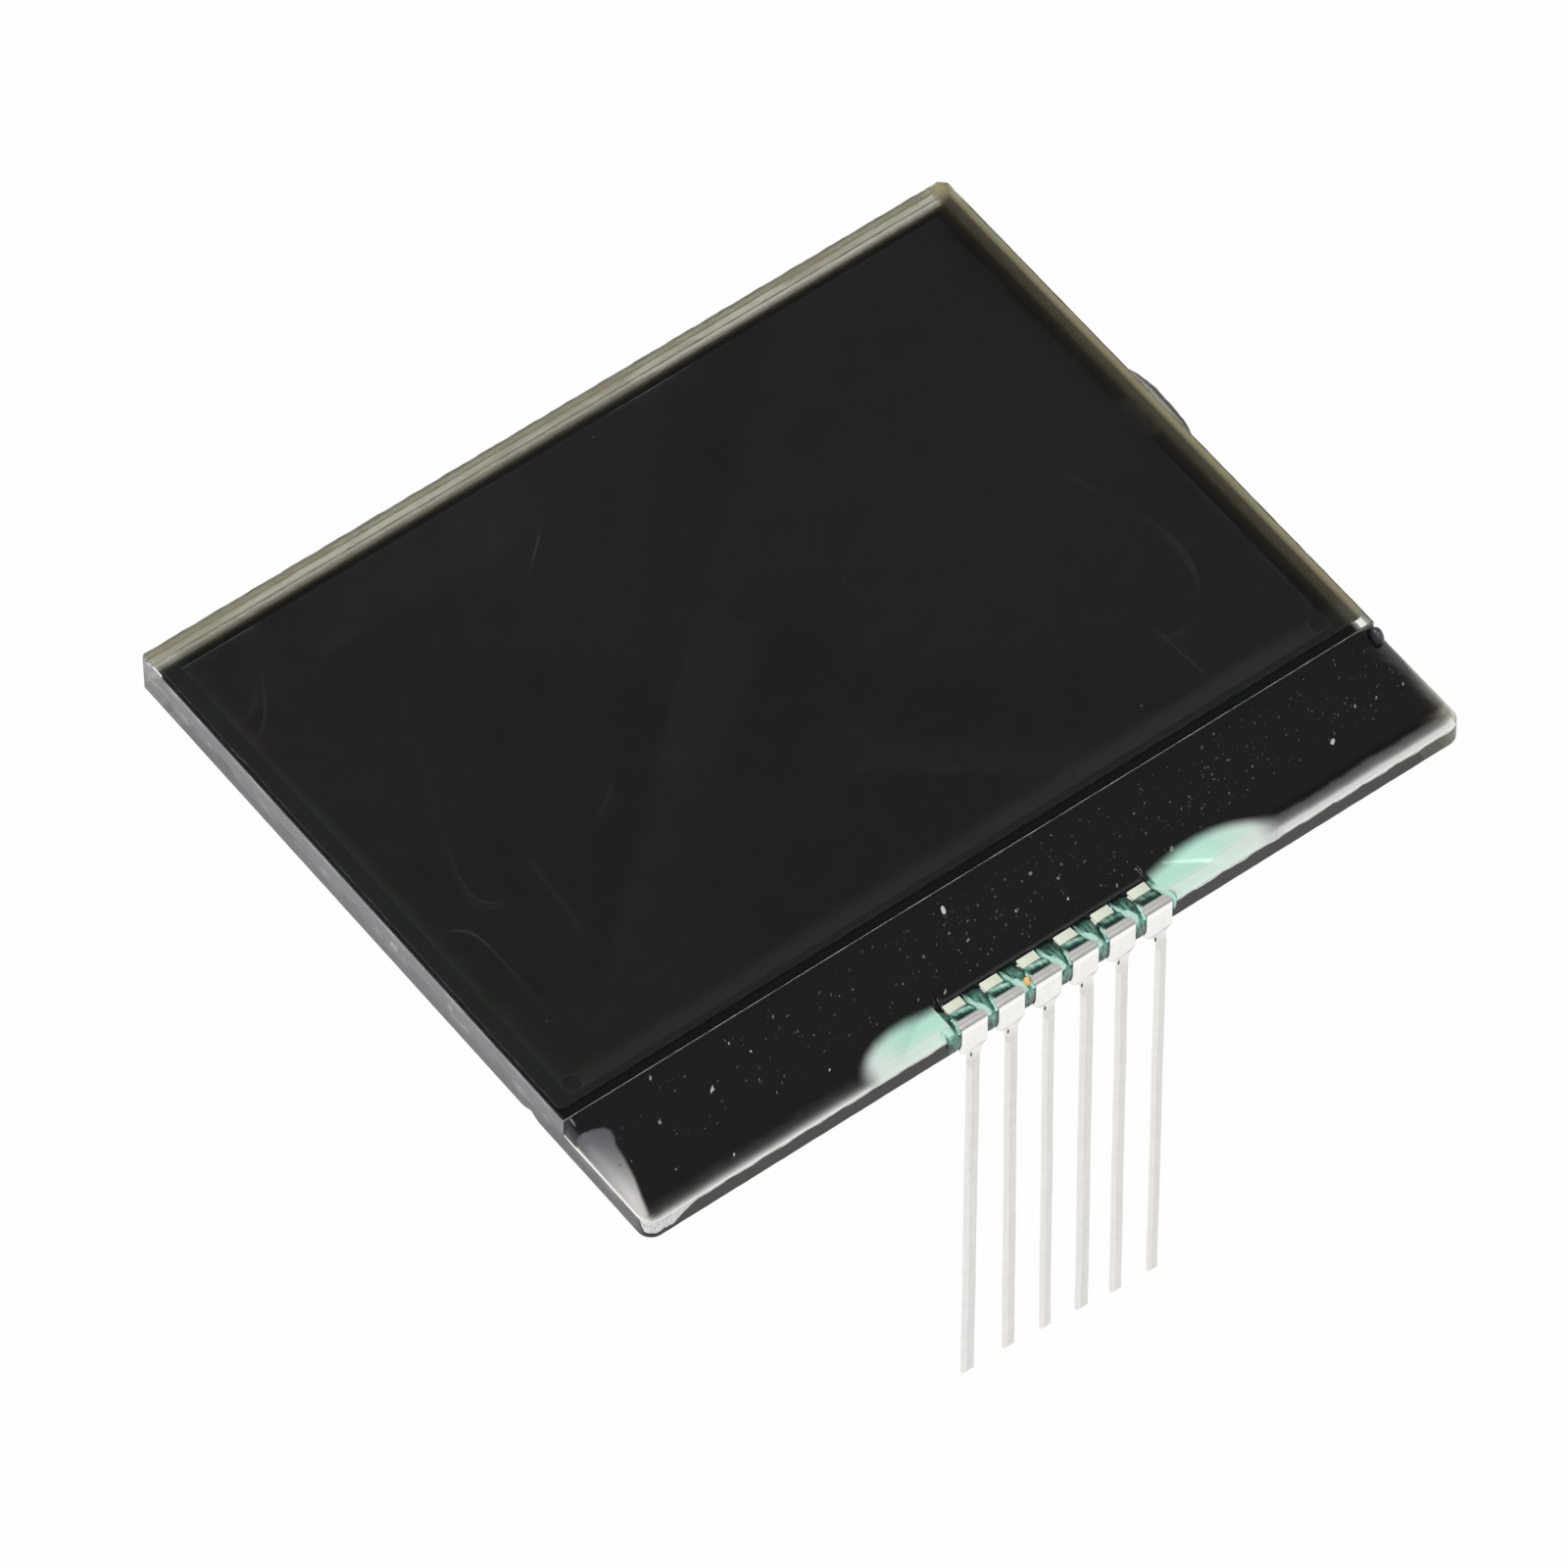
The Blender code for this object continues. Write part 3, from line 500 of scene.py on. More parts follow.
@dataclass(frozen=True)
class FrontFilm:
    """Glossy brownish-black polarising film, which lets a little light through."""

    colour: Colour = (0.0140, 0.0105, 0.0090)
    mottled: Colour = (0.0190, 0.0172, 0.0155)
    scratch: Colour = (0.080, 0.086, 0.083)
    margin_light: Colour = (0.044, 0.053, 0.051)
    olive: Colour = (0.40, 0.36, 0.20)
    opacity: float = 0.25
    side_opacity: float = 0.93
    aside: float = 0.1

    def build(self, effects: SharedEffects, low: np.ndarray,
              high: np.ndarray) -> bpy.types.Material:
        """Return the material, which is painted paler along the near and left sides and olive along
        the far and right ones: both bands are painted light that comes in at the glass edges.

        A narrow strip along the right side lets hardly any light through.

        Args:
            effects: the shared node groups.
            low: low corner of the film's box.
            high: high corner of the film's box.

        Returns:
            The material.
        """
        material, wiring, shader = principled("front_polarising_film")
        slow = wiring.group(effects.mottle, Scale=55.0).outputs[0]
        colour = wiring.blend(slow, self.colour, self.mottled)
        near_left = wiring.group(effects.border, Left=low[0], Right=high[0] + self.aside,
                                 Near=low[1], Far=high[1] + self.aside).outputs[0]
        # Painted light: a pale band along the near and left sides of the film.
        colour = wiring.blend(wiring.span(near_left, 0.6 * MM, 1.5 * MM, 0.7, 0.0), colour,
                              self.margin_light)
        x, y = wiring.plan()
        # Painted light: an olive glow along the far and right sides of the film.
        far = wiring.span(y, high[1] - 1.35 * MM, high[1] - 0.25 * MM)
        right = wiring.math("MAXIMUM", wiring.span(x, high[0] - 0.50 * MM, high[0] - 0.05 * MM),
                            wiring.span(x, high[0] - 1.40 * MM, high[0] - 0.50 * MM, 0.0, 0.12))
        colour = wiring.blend(wiring.math("MAXIMUM", far, right), colour, self.olive)
        rise = wiring.span(x, high[0] - 1.0 * MM, high[0] - 0.55 * MM, self.opacity,
                           self.side_opacity)
        cover = wiring.math("SUBTRACT", rise, wiring.span(x, high[0] - 0.42 * MM,
                                                          high[0] - 0.08 * MM, 0.0, 0.31))
        lines = wiring.group(effects.hairlines, Scale=75.0, Width=0.0011).outputs[0]
        colour = wiring.blend(wiring.math("MULTIPLY", lines, 0.55), colour, self.scratch)
        wiring.fill(shader, Base_Color=colour, Roughness=wiring.span(slow, 0.0, 1.0, 0.10, 0.16),
                    Normal=wiring.bump(slow, 0.15, 0.002 * MM), Alpha=cover,
                    Specular_IOR_Level=0.4)
        return material


@dataclass(frozen=True)
class RearFilm:
    """Matt dark grey film under the rear sheet."""

    colour: Colour = (0.022, 0.022, 0.023)
    worn: Colour = (0.044, 0.044, 0.043)

    def build(self, effects: SharedEffects) -> bpy.types.Material:
        """Return the material."""
        material, wiring, shader = principled("rear_polarising_film")
        slow = wiring.group(effects.mottle, Scale=90.0).outputs[0]
        lines = wiring.group(effects.hairlines, Scale=60.0, Width=0.0016).outputs[0]
        share = wiring.math("MAXIMUM", wiring.math("MULTIPLY", slow, 0.4), lines)
        wiring.fill(shader, Base_Color=wiring.blend(share, self.colour, self.worn),
                    Roughness=wiring.span(slow, 0.0, 1.0, 0.34, 0.5),
                    Normal=wiring.bump(slow, 0.2, 0.003 * MM))
        return material


@dataclass(frozen=True)
class SealEpoxy:
    """Translucent olive adhesive, clear at its outer side and dark at its inner side.

    The darkening towards the inner side is painted shade.
    """

    outer: Colour = (0.30, 0.25, 0.11)
    inner: Colour = (0.085, 0.102, 0.094)
    margin_light: Colour = (0.42, 0.46, 0.44)
    width: float = 1.0 * MM
    right_shift: float = 0.22 * MM
    far_shift: float = -0.08 * MM
    aside: float = 0.1

    def build(self, layout: Layout, effects: SharedEffects) -> bpy.types.Material:
        """Return the material, whose clear outer side follows the right and far edges.

        Along the near side it is painted paler, and more so towards the right: painted light that
        comes in through the clear glass margin.
        """
        material, wiring, shader = principled("perimeter_seal_epoxy")
        distance = wiring.group(effects.border, Left=layout.left - self.aside,
                                Right=layout.front_right + self.right_shift,
                                Near=layout.front_near - self.aside,
                                Far=layout.far + self.far_shift).outputs[0]
        inward = wiring.span(distance, 0.25 * MM, 0.25 * MM + self.width)
        x, y = wiring.plan()
        # Painted light: a pale band along the near side, stronger towards the right.
        near = wiring.span(y, layout.front_near + 0.5 * MM, layout.front_near + 1.3 * MM, 1.0, 0.0)
        share = wiring.math("MULTIPLY", near,
                            wiring.span(x, layout.left, layout.front_right, 0.08, 0.8))
        # Painted shade: olive at the outer side, darkening to near black inwards.
        colour = wiring.blend(wiring.span(inward, 0.3, 1.0), self.outer, self.inner)
        wiring.fill(shader, Base_Color=wiring.blend(share, colour, self.margin_light), Roughness=0.4,
                    Alpha=wiring.span(inward, 0.0, 0.85, 0.12, 1.0))
        return material


@dataclass(frozen=True)
class PlainFinish:
    """A finish of one colour broken up by fine grain."""

    name: str
    light: Colour
    dark: Colour
    grain: float
    roughness: tuple[float, float]
    metallic: float = 0.0
    opacity: float = 1.0
    relief: float = 0.004 * MM

    def build(self, effects: SharedEffects) -> bpy.types.Material:
        """Return the material."""
        material, wiring, shader = principled(self.name)
        value = wiring.group(effects.mottle, Scale=self.grain).outputs[0]
        wiring.fill(shader, Base_Color=wiring.blend(value, self.dark, self.light),
                    Roughness=wiring.span(value, 0.0, 1.0, *self.roughness),
                    Normal=wiring.bump(value, 0.3, self.relief), Metallic=self.metallic,
                    Alpha=self.opacity)
        return material


@dataclass(frozen=True)
class LedgePottingFinish:
    """Glossy bluish-black potting, which thins out to nothing at the ledge's rim.

    The mesh gives four numbers: cover is how well it hides the glass, brown how brown it is where
    it is thin, smear_and_reflection where a grey to white patch of painted reflection lies over it,
    and pale how bright that painted reflection is.
    """

    deep: Colour = (0.0075, 0.0075, 0.0088)
    thin: Colour = (0.17, 0.14, 0.08)
    dust: Colour = (0.060, 0.060, 0.066)
    reflection_grey: Colour = (0.11, 0.11, 0.125)
    reflection_white: Colour = (0.70, 0.68, 0.65)

    def build(self, effects: SharedEffects) -> bpy.types.Material:
        """Return the material."""
        material, wiring, shader = principled("ledge_potting")
        cover, brown, smear_and_reflection, pale = (wiring.attribute(name)
                                     for name in ("cover", "brown", "smear_and_reflection", "pale"))
        colour = wiring.blend(wiring.math("MULTIPLY", brown, wiring.span(cover, 0.2, 1.0, 1.0, 0.0)),
                              self.deep, self.thin)
        # Painted reflection: a grey to white patch at the left end, paler towards the near corner and
        # the side.
        colour = wiring.blend(smear_and_reflection, colour, wiring.blend(pale, self.reflection_grey, self.reflection_white))
        specks = wiring.group(effects.dust, Scale=2600.0, Amount=0.05).outputs[0]
        colour = wiring.blend(wiring.math("MULTIPLY", specks, 0.5), colour, self.dust)
        slow = wiring.group(effects.mottle, Scale=160.0).outputs[0]
        matt = wiring.span(smear_and_reflection, 0.0, 1.0, 0.0, 0.4)
        wiring.fill(shader, Base_Color=colour, Normal=wiring.bump(slow, 0.25, 0.01 * MM),
                    Roughness=wiring.math("ADD", wiring.span(slow, 0.0, 1.0, 0.05, 0.09), matt),
                    Alpha=cover)
        return material


@dataclass(frozen=True)
class FlakeFinish:
    """Dust flakes and small bubbles. The mesh gives each one's tint and how brightly it glows."""

    dim: Colour = (0.03, 0.03, 0.033)
    pale: Colour = (0.62, 0.62, 0.64)
    pink: Colour = (0.55, 0.34, 0.36)
    orange: Colour = (0.62, 0.36, 0.10)

    def build(self, effects: SharedEffects) -> bpy.types.Material:
        """Return the material."""
        material, wiring, shader = principled("dust_flakes")
        tint = wiring.attribute("tint")
        colour = wiring.blend(wiring.span(tint, 0.3, 0.5), self.pale, self.pink)
        colour = wiring.blend(wiring.span(tint, 0.7, 0.9), colour, self.orange)
        colour = wiring.blend(wiring.attribute("glow"), self.dim, colour)
        fine = wiring.noise(wiring.place(), 20000.0, 1.0)
        wiring.fill(shader, Base_Color=colour, Roughness=wiring.span(fine, 0.3, 0.7, 0.2, 0.5))
        return material


@dataclass(frozen=True)
class TinnedMetal:
    """Satin tin plating with rolling lines along the strip, dulled in folds and under adhesive.

    The mesh gives four numbers: shade is how bright the plating is painted along the strip, with a
    grey crest, a dark line at the fold and a white band below it as painted reflection and shade,
    matt how dull it is, green how much adhesive covers it, and side how much lighter its left part
    is painted, as a painted sheen.
    """

    light: Colour = (0.98, 0.965, 0.93)
    dark: Colour = (0.18, 0.17, 0.15)
    wash: Colour = (0.93, 0.98, 0.80)

    def build(self, effects: SharedEffects) -> bpy.types.Material:
        """Return the material."""
        material, wiring, shader = principled("tinned_pin_metal")
        lines = wiring.noise(wiring.stretched(wiring.place(), (1.0, 0.05, 0.02)), 6000.0, 2.0)
        spots = wiring.group(effects.mottle, Scale=1500.0).outputs[0]
        uneven = wiring.math("ADD", wiring.span(lines, 0.35, 0.65, -0.02, 0.02),
                             wiring.span(spots, 0.0, 1.0, -0.02, 0.02))
        # Painted reflection and shade along the strip come in with the shade number.
        level = wiring.math("ADD", wiring.attribute("shade"), uneven)
        # Painted sheen: the left part of a lead is painted lighter.
        level = wiring.math("ADD", level, wiring.span(wiring.attribute("side"), 0.2, 0.5, 0.0, 0.12))
        colour = wiring.blend(level, self.dark, self.light)
        wiring.fill(shader, Base_Color=wiring.blend(wiring.attribute("green"), colour, self.wash),
                    Metallic=wiring.math("SUBTRACT", 1.0, wiring.attribute("matt")),
                    Roughness=wiring.span(lines, 0.3, 0.7, 0.16, 0.24),
                    Normal=wiring.bump(lines, 0.03, 0.002 * MM))
        return material


@dataclass(frozen=True)
class RopeGel:
    """Blue-green UV adhesive drawn out into ropes, dark to mint by a number on the mesh.

    The mint is partly the gel's own tint and partly painted light shining up through the gel; the
    dark is partly its tint and partly painted shade.
    """

    deep: Colour = (0.008, 0.026, 0.021)
    middle: Colour = (0.17, 0.42, 0.33)
    mint: Colour = (0.62, 0.92, 0.80)

    def build(self, effects: SharedEffects) -> bpy.types.Material:
        """Return the material."""
        material, wiring, shader = principled("green_gel_ropes")
        run = wiring.stretched(wiring.place(), (1.0, 0.25, 0.25))
        streaks = wiring.span(wiring.noise(run, 7000.0, 2.0), 0.35, 0.65, -0.16, 0.16)
        level = wiring.math("ADD", wiring.attribute("mint"),
                            wiring.math("MULTIPLY", streaks, wiring.attribute("streaky")))
        colour = wiring.blend(wiring.span(level, 0.0, 0.5), self.deep, self.middle)
        slow = wiring.group(effects.mottle, Scale=1800.0).outputs[0]
        wiring.fill(shader, Base_Color=wiring.blend(wiring.span(level, 0.5, 1.0), colour, self.mint),
                    Roughness=wiring.span(slow, 0.0, 1.0, 0.05, 0.12),
                    Normal=wiring.bump(slow, 0.3, 0.02 * MM))
        return material


@dataclass(frozen=True)
class MilkyGel:
    """Blue-green UV adhesive where it lies on the ledge: pale at its rim, mint further in.

    The pale rim is painted light on its slope towards the ledge's edge. The mesh gives four
    numbers: depth is how mint it is, thinned how grey, line how strongly a darker line of painted
    shade shows along a crease line, and body how well it hides the potting.
    """

    pale: Colour = (0.76, 0.93, 0.83)
    mint: Colour = (0.57, 0.91, 0.75)
    line: Colour = (0.38, 0.62, 0.52)
    grey: Colour = (0.82, 0.86, 0.81)

    def build(self, effects: SharedEffects) -> bpy.types.Material:
        """Return the material."""
        material, wiring, shader = principled("milky_green_gel")
        colour = wiring.blend(wiring.attribute("depth"), self.pale, self.mint)
        colour = wiring.blend(wiring.attribute("thinned"), colour, self.grey)
        slow = wiring.group(effects.mottle, Scale=900.0).outputs[0]
        wiring.fill(shader, Base_Color=wiring.blend(wiring.attribute("line"), colour, self.line),
                    Alpha=wiring.attribute("body"),
                    Roughness=wiring.span(slow, 0.0, 1.0, 0.05, 0.10),
                    Normal=wiring.bump(slow, 0.1, 0.01 * MM))
        return material


@dataclass(frozen=True)
class PlugAdhesive:
    """Cloudy adhesive whose outer side is dark: the mesh gives how far out each point lies."""

    inner: Colour = (0.42, 0.47, 0.44)
    cream: Colour = (0.50, 0.48, 0.37)
    outer: Colour = (0.035, 0.030, 0.020)

    def build(self, effects: SharedEffects) -> bpy.types.Material:
        """Return the material."""
        material, wiring, shader = principled("plug_adhesive")
        value = wiring.group(effects.mottle, Scale=900.0).outputs[0]
        cloudy = wiring.blend(value, self.inner, self.cream)
        wiring.fill(shader, Roughness=wiring.span(value, 0.0, 1.0, 0.12, 0.3),
                    Base_Color=wiring.blend(wiring.attribute("outside"), cloudy, self.outer))
        return material


def dress(item: bpy.types.Object, *materials: bpy.types.Material) -> None:
    """Give an object its materials."""
    item.data.materials.clear()
    for material in materials:
        item.data.materials.append(material)


def place_piece(item: bpy.types.Object, slot: Slot, *nodes: str) -> None:
    """Let a finished piece ride on the body and stand for CAD nodes."""
    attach(item, BODY)
    if nodes:
        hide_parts(*nodes)
    LOG.info("%s: %d faces", item.name, len(item.data.polygons))


@dataclass(frozen=True)
class Corner:
    """A corner of a sheet's outline: its radius, and whether it is cut straight."""

    radius: float
    straight: bool = False


def sheet_outline(box: tuple[float, float, float, float], corners: tuple[Corner, ...],
                  step: float) -> tuple[np.ndarray, np.ndarray]:
    """Closed outline of a sheet, anticlockwise from the near left corner.

    Each corner is a quarter arc or a straight cut, and each side a row of even steps between two
    corners. A point's outward normal is at right angles to the line between its neighbours.

    Args:
        box: left, right, near and far side.
        corners: near left, near right, far right and far left corner.
        step: largest distance between points.

    Returns:
        Points and outward normals in plan, one row each.
    """
    left, right, near, far = box
    spots = ((left, near, 1, 1), (right, near, -1, 1), (right, far, -1, -1), (left, far, 1, -1))
    runs = []
    for number, ((x, y, side_x, side_y), corner) in enumerate(zip(spots, corners)):
        reach = max(corner.radius, 1e-7)
        start = math.pi + number * math.pi / 2
        steps = 2 if corner.straight else max(2, math.ceil(reach * math.pi / 2 / step) + 3)
        angle = start + np.linspace(0.0, math.pi / 2, steps)
        centre = np.array([x + side_x * reach, y + side_y * reach])
        runs.append(centre + reach * np.stack([np.cos(angle), np.sin(angle)], axis=1))
    points = []
    for run, following in zip(runs, runs[1:] + runs[:1]):
        points.append(run)
        gap = following[0] - run[-1]
        count = max(2, math.ceil(np.linalg.norm(gap) / step))
        share = np.arange(1, count)[:, None] / count
        points.append(run[-1] + gap * share)
    outline = np.vstack(points)
    along = np.roll(outline, -1, axis=0) - np.roll(outline, 1, axis=0)
    along /= np.linalg.norm(along, axis=1)[:, None]
    return outline, np.stack([along[:, 1], -along[:, 0]], axis=1)


def sheet_body(outline: np.ndarray, normal: np.ndarray, insets: list[np.ndarray],
               heights: list[np.ndarray]) -> np.ndarray:
    """Loops of a sheet: the outline drawn in by each inset and set at each height."""
    loops = [np.column_stack([outline - normal * inset[:, None], height])
             for inset, height in zip(insets, heights)]
    return np.stack(loops)


@dataclass
class GlassSandwich:
    """Two glass sheets with the seal, the crystal and the transfer dots between them."""

    layout: Layout
    effects: SharedEffects
    step: float = 0.16 * MM
    far_left_cut: float = 0.14 * MM
    far_right_cut: float = 0.34 * MM
    ledge_left_radius: float = 0.7 * MM
    ledge_right_radius: float = 0.75 * MM
    chip_share: float = 0.9
    ground_band: float = 0.11 * MM
    corner_band: float = 0.72 * MM
    chip_place: float = 8.55 * MM
    seal_inset: float = 0.35 * MM
    seal_width: float = 0.9 * MM
    port_middle: float = 15.5 * MM
    port_width: float = 2.4 * MM
    ground_from: float = 0.025 * MM
    clear: bpy.types.Material = field(init=False)
    ground: bpy.types.Material = field(init=False)
    broken: bpy.types.Material = field(init=False)
    near_wall: bpy.types.Material = field(init=False)

    def __post_init__(self) -> None:
        """Make the glass finishes that both sheets share."""
        self.clear = ClearGlass().build(self.effects)
        self.ground = GroundEdge("ground_glass_edge", (0.78, 0.79, 0.77),
                                 (0.50, 0.51, 0.48)).build(self.effects)
        self.broken = ClearGlass("broken_glass_wall", (1.0, 0.97, 0.76), 0.6,
                                 0.45).build(self.effects)
        self.near_wall = ClearGlass("ledge_near_wall", (0.42, 0.40, 0.31), 0.95, 0.08,
                                    1.30).build(self.effects)

    def _sheet(self, name: str, box: tuple[float, float, float, float],
               corners: tuple[Corner, ...], bottom: float, top: float, seed: int,
               edges: tuple[float, ...], wall_finish: ClearGlass,
               banded: bool) -> bpy.types.Object:
        """A sheet with scored and broken edges.

        The loops run from the lower face's edge over the wall to the upper face's edge. The edges
        are broken off to a wavering width of their own on each side, and the wall is slightly wavy.
        A banded sheet also has a darker near wall with a ground band under its upper edge, which
        widens towards the left corner, and a chipped spot at the foot of its left wall.

        Args:
            name: the object's name.
            box: left, right, near and far side.
            corners: the four corners.
            bottom: lower face.
            top: upper face.
            seed: picks the wavering.
            edges: width of the broken edge on the left, right, near and far side.
            wall_finish: glass of the left and near walls.
            banded: whether the near side has a ground band.

        Returns:
            The sheet, with clear faces, walls and ground edges.
        """
        outline, normal = sheet_outline(box, corners, self.step)
        place = np.cumsum(np.linalg.norm(np.diff(outline, axis=0, prepend=outline[-1:]), axis=1))
        facing = np.clip(np.stack([-normal[:, 0], normal[:, 0], -normal[:, 1], normal[:, 1]]), 0, 1)
        width = (np.array(edges)[:, None] * facing).sum(axis=0) / facing.sum(axis=0)
        chips = np.clip(0.5 + 0.5 * waver(place, seed, 2.1 * MM, 5), 0.0, 1.0)
        upper = width * (1.0 - self.chip_share / 2 + self.chip_share * chips)
        lower = width * (1.0 - self.chip_share / 2 + self.chip_share * np.roll(chips, 37))
        band = upper * 1.3
        if banded:
            uneven = waver(place, seed + 2, 1.9 * MM, 6)
            from_corner = outline[:, 0] - box[0]
            rough = self.ground_band * (1.0 + 0.5 * uneven)
            rough += (self.corner_band * (1.0 + 0.12 * uneven)
                      * (1.0 - smooth_step(from_corner, 0.6 * MM, 3.1 * MM)))
            band = band + (rough - band) * smooth_step(facing[2], 0.1, 0.6)
            spot = np.abs(outline[:, 1] - self.chip_place) / MM
            chipped = 0.30 * MM * np.clip(1.0 - spot / 0.55, 0.0, 1.0) * (0.75 + 0.25 * uneven)
            lower = lower + chipped * (facing[0] > 0.5)
        wall = 0.004 * MM * np.clip(1.0 + waver(place, seed + 3, 5.0 * MM), 0.0, None)
        level = np.full(len(outline), 1.0)
        insets = [lower, wall * 0.5, wall, wall, wall * 0.8, upper]
        heights = [bottom * level, bottom + lower, 0.5 * (bottom + lower + top - band),
                   top - band, top - upper * 0.8, top * level]
        item = loft(name, sheet_body(outline, normal, insets, heights), 25.0)
        dress(item, self.clear, self.ground, wall_finish.build(self.effects), self.broken,
              self.near_wall)
        count = len(outline)
        behind = (facing[3] > 0.5) | (facing[1] > 0.5)
        wall_index = np.where(behind, 3, np.where(banded & (facing[2] > 0.35), 4, 2))
        edge_index = np.where(width > self.ground_from, 1, wall_index)
        foot_index = np.where(lower > 0.05 * MM, 1, edge_index)
        band_index = np.where(band > 2.0 * upper, 1, edge_index)
        index = np.zeros(len(item.data.polygons), dtype=np.int32)
        for row, values in enumerate((foot_index, wall_index, wall_index, band_index, edge_index)):
            index[row * count:(row + 1) * count] = values
        item.data.polygons.foreach_set("material_index", index)
        return item

    def build(self) -> None:
        """Make the sheets and dress what lies between them."""
        place = self.layout
        far = (Corner(self.far_right_cut, straight=True), Corner(self.far_left_cut, straight=True))
        square = Corner(0.0, straight=True)
        front = self._sheet(
            "front_glass_sheet", (place.left, place.front_right, place.front_near, place.far),
            (square, square, *far), place.front_bottom, place.front_top, 11,
            (0.010 * MM, 0.018 * MM, 0.030 * MM, 0.050 * MM),
            ClearGlass("front_sheet_wall", (0.70, 0.70, 0.78), 0.87, 0.12), banded=False)
        place_piece(front, Slot.GLASS, "front_glass")
        rear = self._sheet(
            "rear_glass_sheet", (place.left, place.rear_right, place.ledge_edge, place.far),
            (Corner(self.ledge_left_radius), Corner(self.ledge_right_radius), *far),
            place.rear_bottom, place.ledge_top, 23,
            (0.012 * MM, 0.018 * MM, 0.022 * MM, 0.030 * MM),
            ClearGlass("rear_sheet_wall", (0.54, 0.54, 0.57), 0.95, 0.08, 1.42), banded=True)
        place_piece(rear, Slot.GLASS, "rear_glass")
        nodes = frame["nodes"]
        epoxy = SealEpoxy().build(place, self.effects)
        dress(nodes["perimeter_seal"], epoxy)
        self._port_plug(epoxy)
        dress(nodes["liquid_crystal"],
              PlainFinish("liquid_crystal_film", (0.03, 0.032, 0.03), (0.02, 0.022, 0.02), 400.0,
                          (0.1, 0.2), opacity=0.15).build(self.effects))
        paste = PlainFinish("silver_transfer_paste", (0.60, 0.60, 0.58), (0.35, 0.35, 0.34),
                            9000.0, (0.35, 0.6), metallic=0.6).build(self.effects)
        for side in ("left", "right"):
            dress(nodes["transfer_dot_" + side], paste)
        # Painted glint: a small white ball on the front sheet's far left corner, where the glass is
        # chipped.
        glint_spot = (place.left + 0.09 * MM, place.far - 0.62 * MM, place.front_top - 0.085 * MM)
        glint = loft("corner_chip_glint", uneven_ball(glint_spot, (0.08 * MM, 0.16 * MM, 0.08 * MM), 0.1), 60.0)
        dress(glint, GroundEdge("glass_chip_glint", (0.95, 0.95, 0.95),
                                (0.80, 0.80, 0.80)).build(self.effects))
        place_piece(glint, Slot.GLASS)

    def _port_plug(self, epoxy: bpy.types.Material) -> None:
        """Adhesive drawn into the filling port: a thin slab whose inner end is a shallow arc."""
        place = self.layout
        middle = place.front_near + self.port_middle
        share = np.linspace(-1.0, 1.0, 25)
        y = middle + (self.port_width / 2 + 0.02 * MM) * share
        right = np.full_like(y, place.front_right - self.seal_inset)
        left = right - self.seal_width - 0.12 * MM * (1.0 - share ** 2)
        gap = place.front_bottom - place.ledge_top
        low, high = place.ledge_top + 0.35 * gap, place.ledge_top + 0.85 * gap
        loops = [np.stack([x, y, np.full_like(y, z)], axis=-1)
                 for x, z in ((left, low), (right, low), (right, high), (left, high))]
        item = loft("port_plug", np.stack(loops, axis=1), 35.0)
        dress(item, epoxy)
        place_piece(item, Slot.SEAL)


@dataclass
class PolarisingFilms:
    """The glossy front film and the matt rear film."""

    effects: SharedEffects
    edge_roll: float = 0.05 * MM
    corner_radius: float = 0.3 * MM
    step: float = 0.4 * MM
    lift: float = 0.002 * MM

    def _film(self, name: str, node: str, up: bool) -> bpy.types.Object:
        """A film whose outer face has a rolled edge: its loops follow a quarter circle.

        Args:
            name: the object's name.
            node: CAD node that gives its box.
            up: whether the outer face is the upper one.

        Returns:
            The film.
        """
        low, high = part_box(node)
        corners = (Corner(self.corner_radius),) * 4
        outline, normal = sheet_outline((low[0], high[0], low[1], high[1]), corners, self.step)
        level = np.ones(len(outline))
        place = np.arange(len(outline)) * self.step
        ragged = 0.006 * MM * np.clip(1.0 + waver(place, 5, 4.0 * MM), 0.0, None)
        outer, inner = ((high[2] - 0.012 * MM, low[2] + self.lift) if up
                        else (low[2], high[2] - self.lift))
        sign = 1.0 if up else -1.0
        insets = [ragged]
        heights = [inner * level]
        for angle in np.linspace(0.0, math.pi / 2, 5):
            insets.append(ragged + self.edge_roll * (1.0 - math.cos(angle)))
            heights.append((outer - sign * self.edge_roll * (1.0 - math.sin(angle))) * level)
        return loft(name, sheet_body(outline, normal, insets, heights), 25.0)

    def build(self) -> None:
        """Make both films."""
        front = self._film("front_film", "front_polariser", True)
        dress(front, FrontFilm().build(self.effects, *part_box("front_polariser")))
        place_piece(front, Slot.FRONT_FILM, "front_polariser")
        rear = self._film("rear_film", "rear_polariser", False)
        dress(rear, RearFilm().build(self.effects))
        place_piece(rear, Slot.REAR_FILM, "rear_polariser")
        self._specks()

    def _specks(self) -> None:
        """A little dust on the front film, at places from its near left corner in millimetres."""
        low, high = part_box("front_polariser")
        random = np.random.default_rng(61)
        spots = [(22.6, 28.1, 0.16), (2.3, 4.0, 0.15), (32.8, 1.9, 0.14)]
        spots += [(1.0 + 41.0 * random.random(), 1.0 + 28.0 * random.random(),
                   0.05 + 0.06 * random.random()) for _ in range(40)]
        bodies = [flake_rings(random, low[0] + along * MM, low[1] + back * MM, size * MM,
                              lambda x, y: np.full_like(x, high[2] - 0.018 * MM))
                  for along, back, size in spots]
        item = lofts("film_dust", bodies, 60.0)
        glow = np.repeat([0.22] * 3 + [0.05] * 40, bodies[0].shape[0] * bodies[0].shape[1])
        set_attribute(item, "glow", glow)
        set_attribute(item, "tint", np.zeros_like(glow))
        dress(item, FlakeFinish().build(self.effects))
        place_piece(item, Slot.FRONT_FILM)


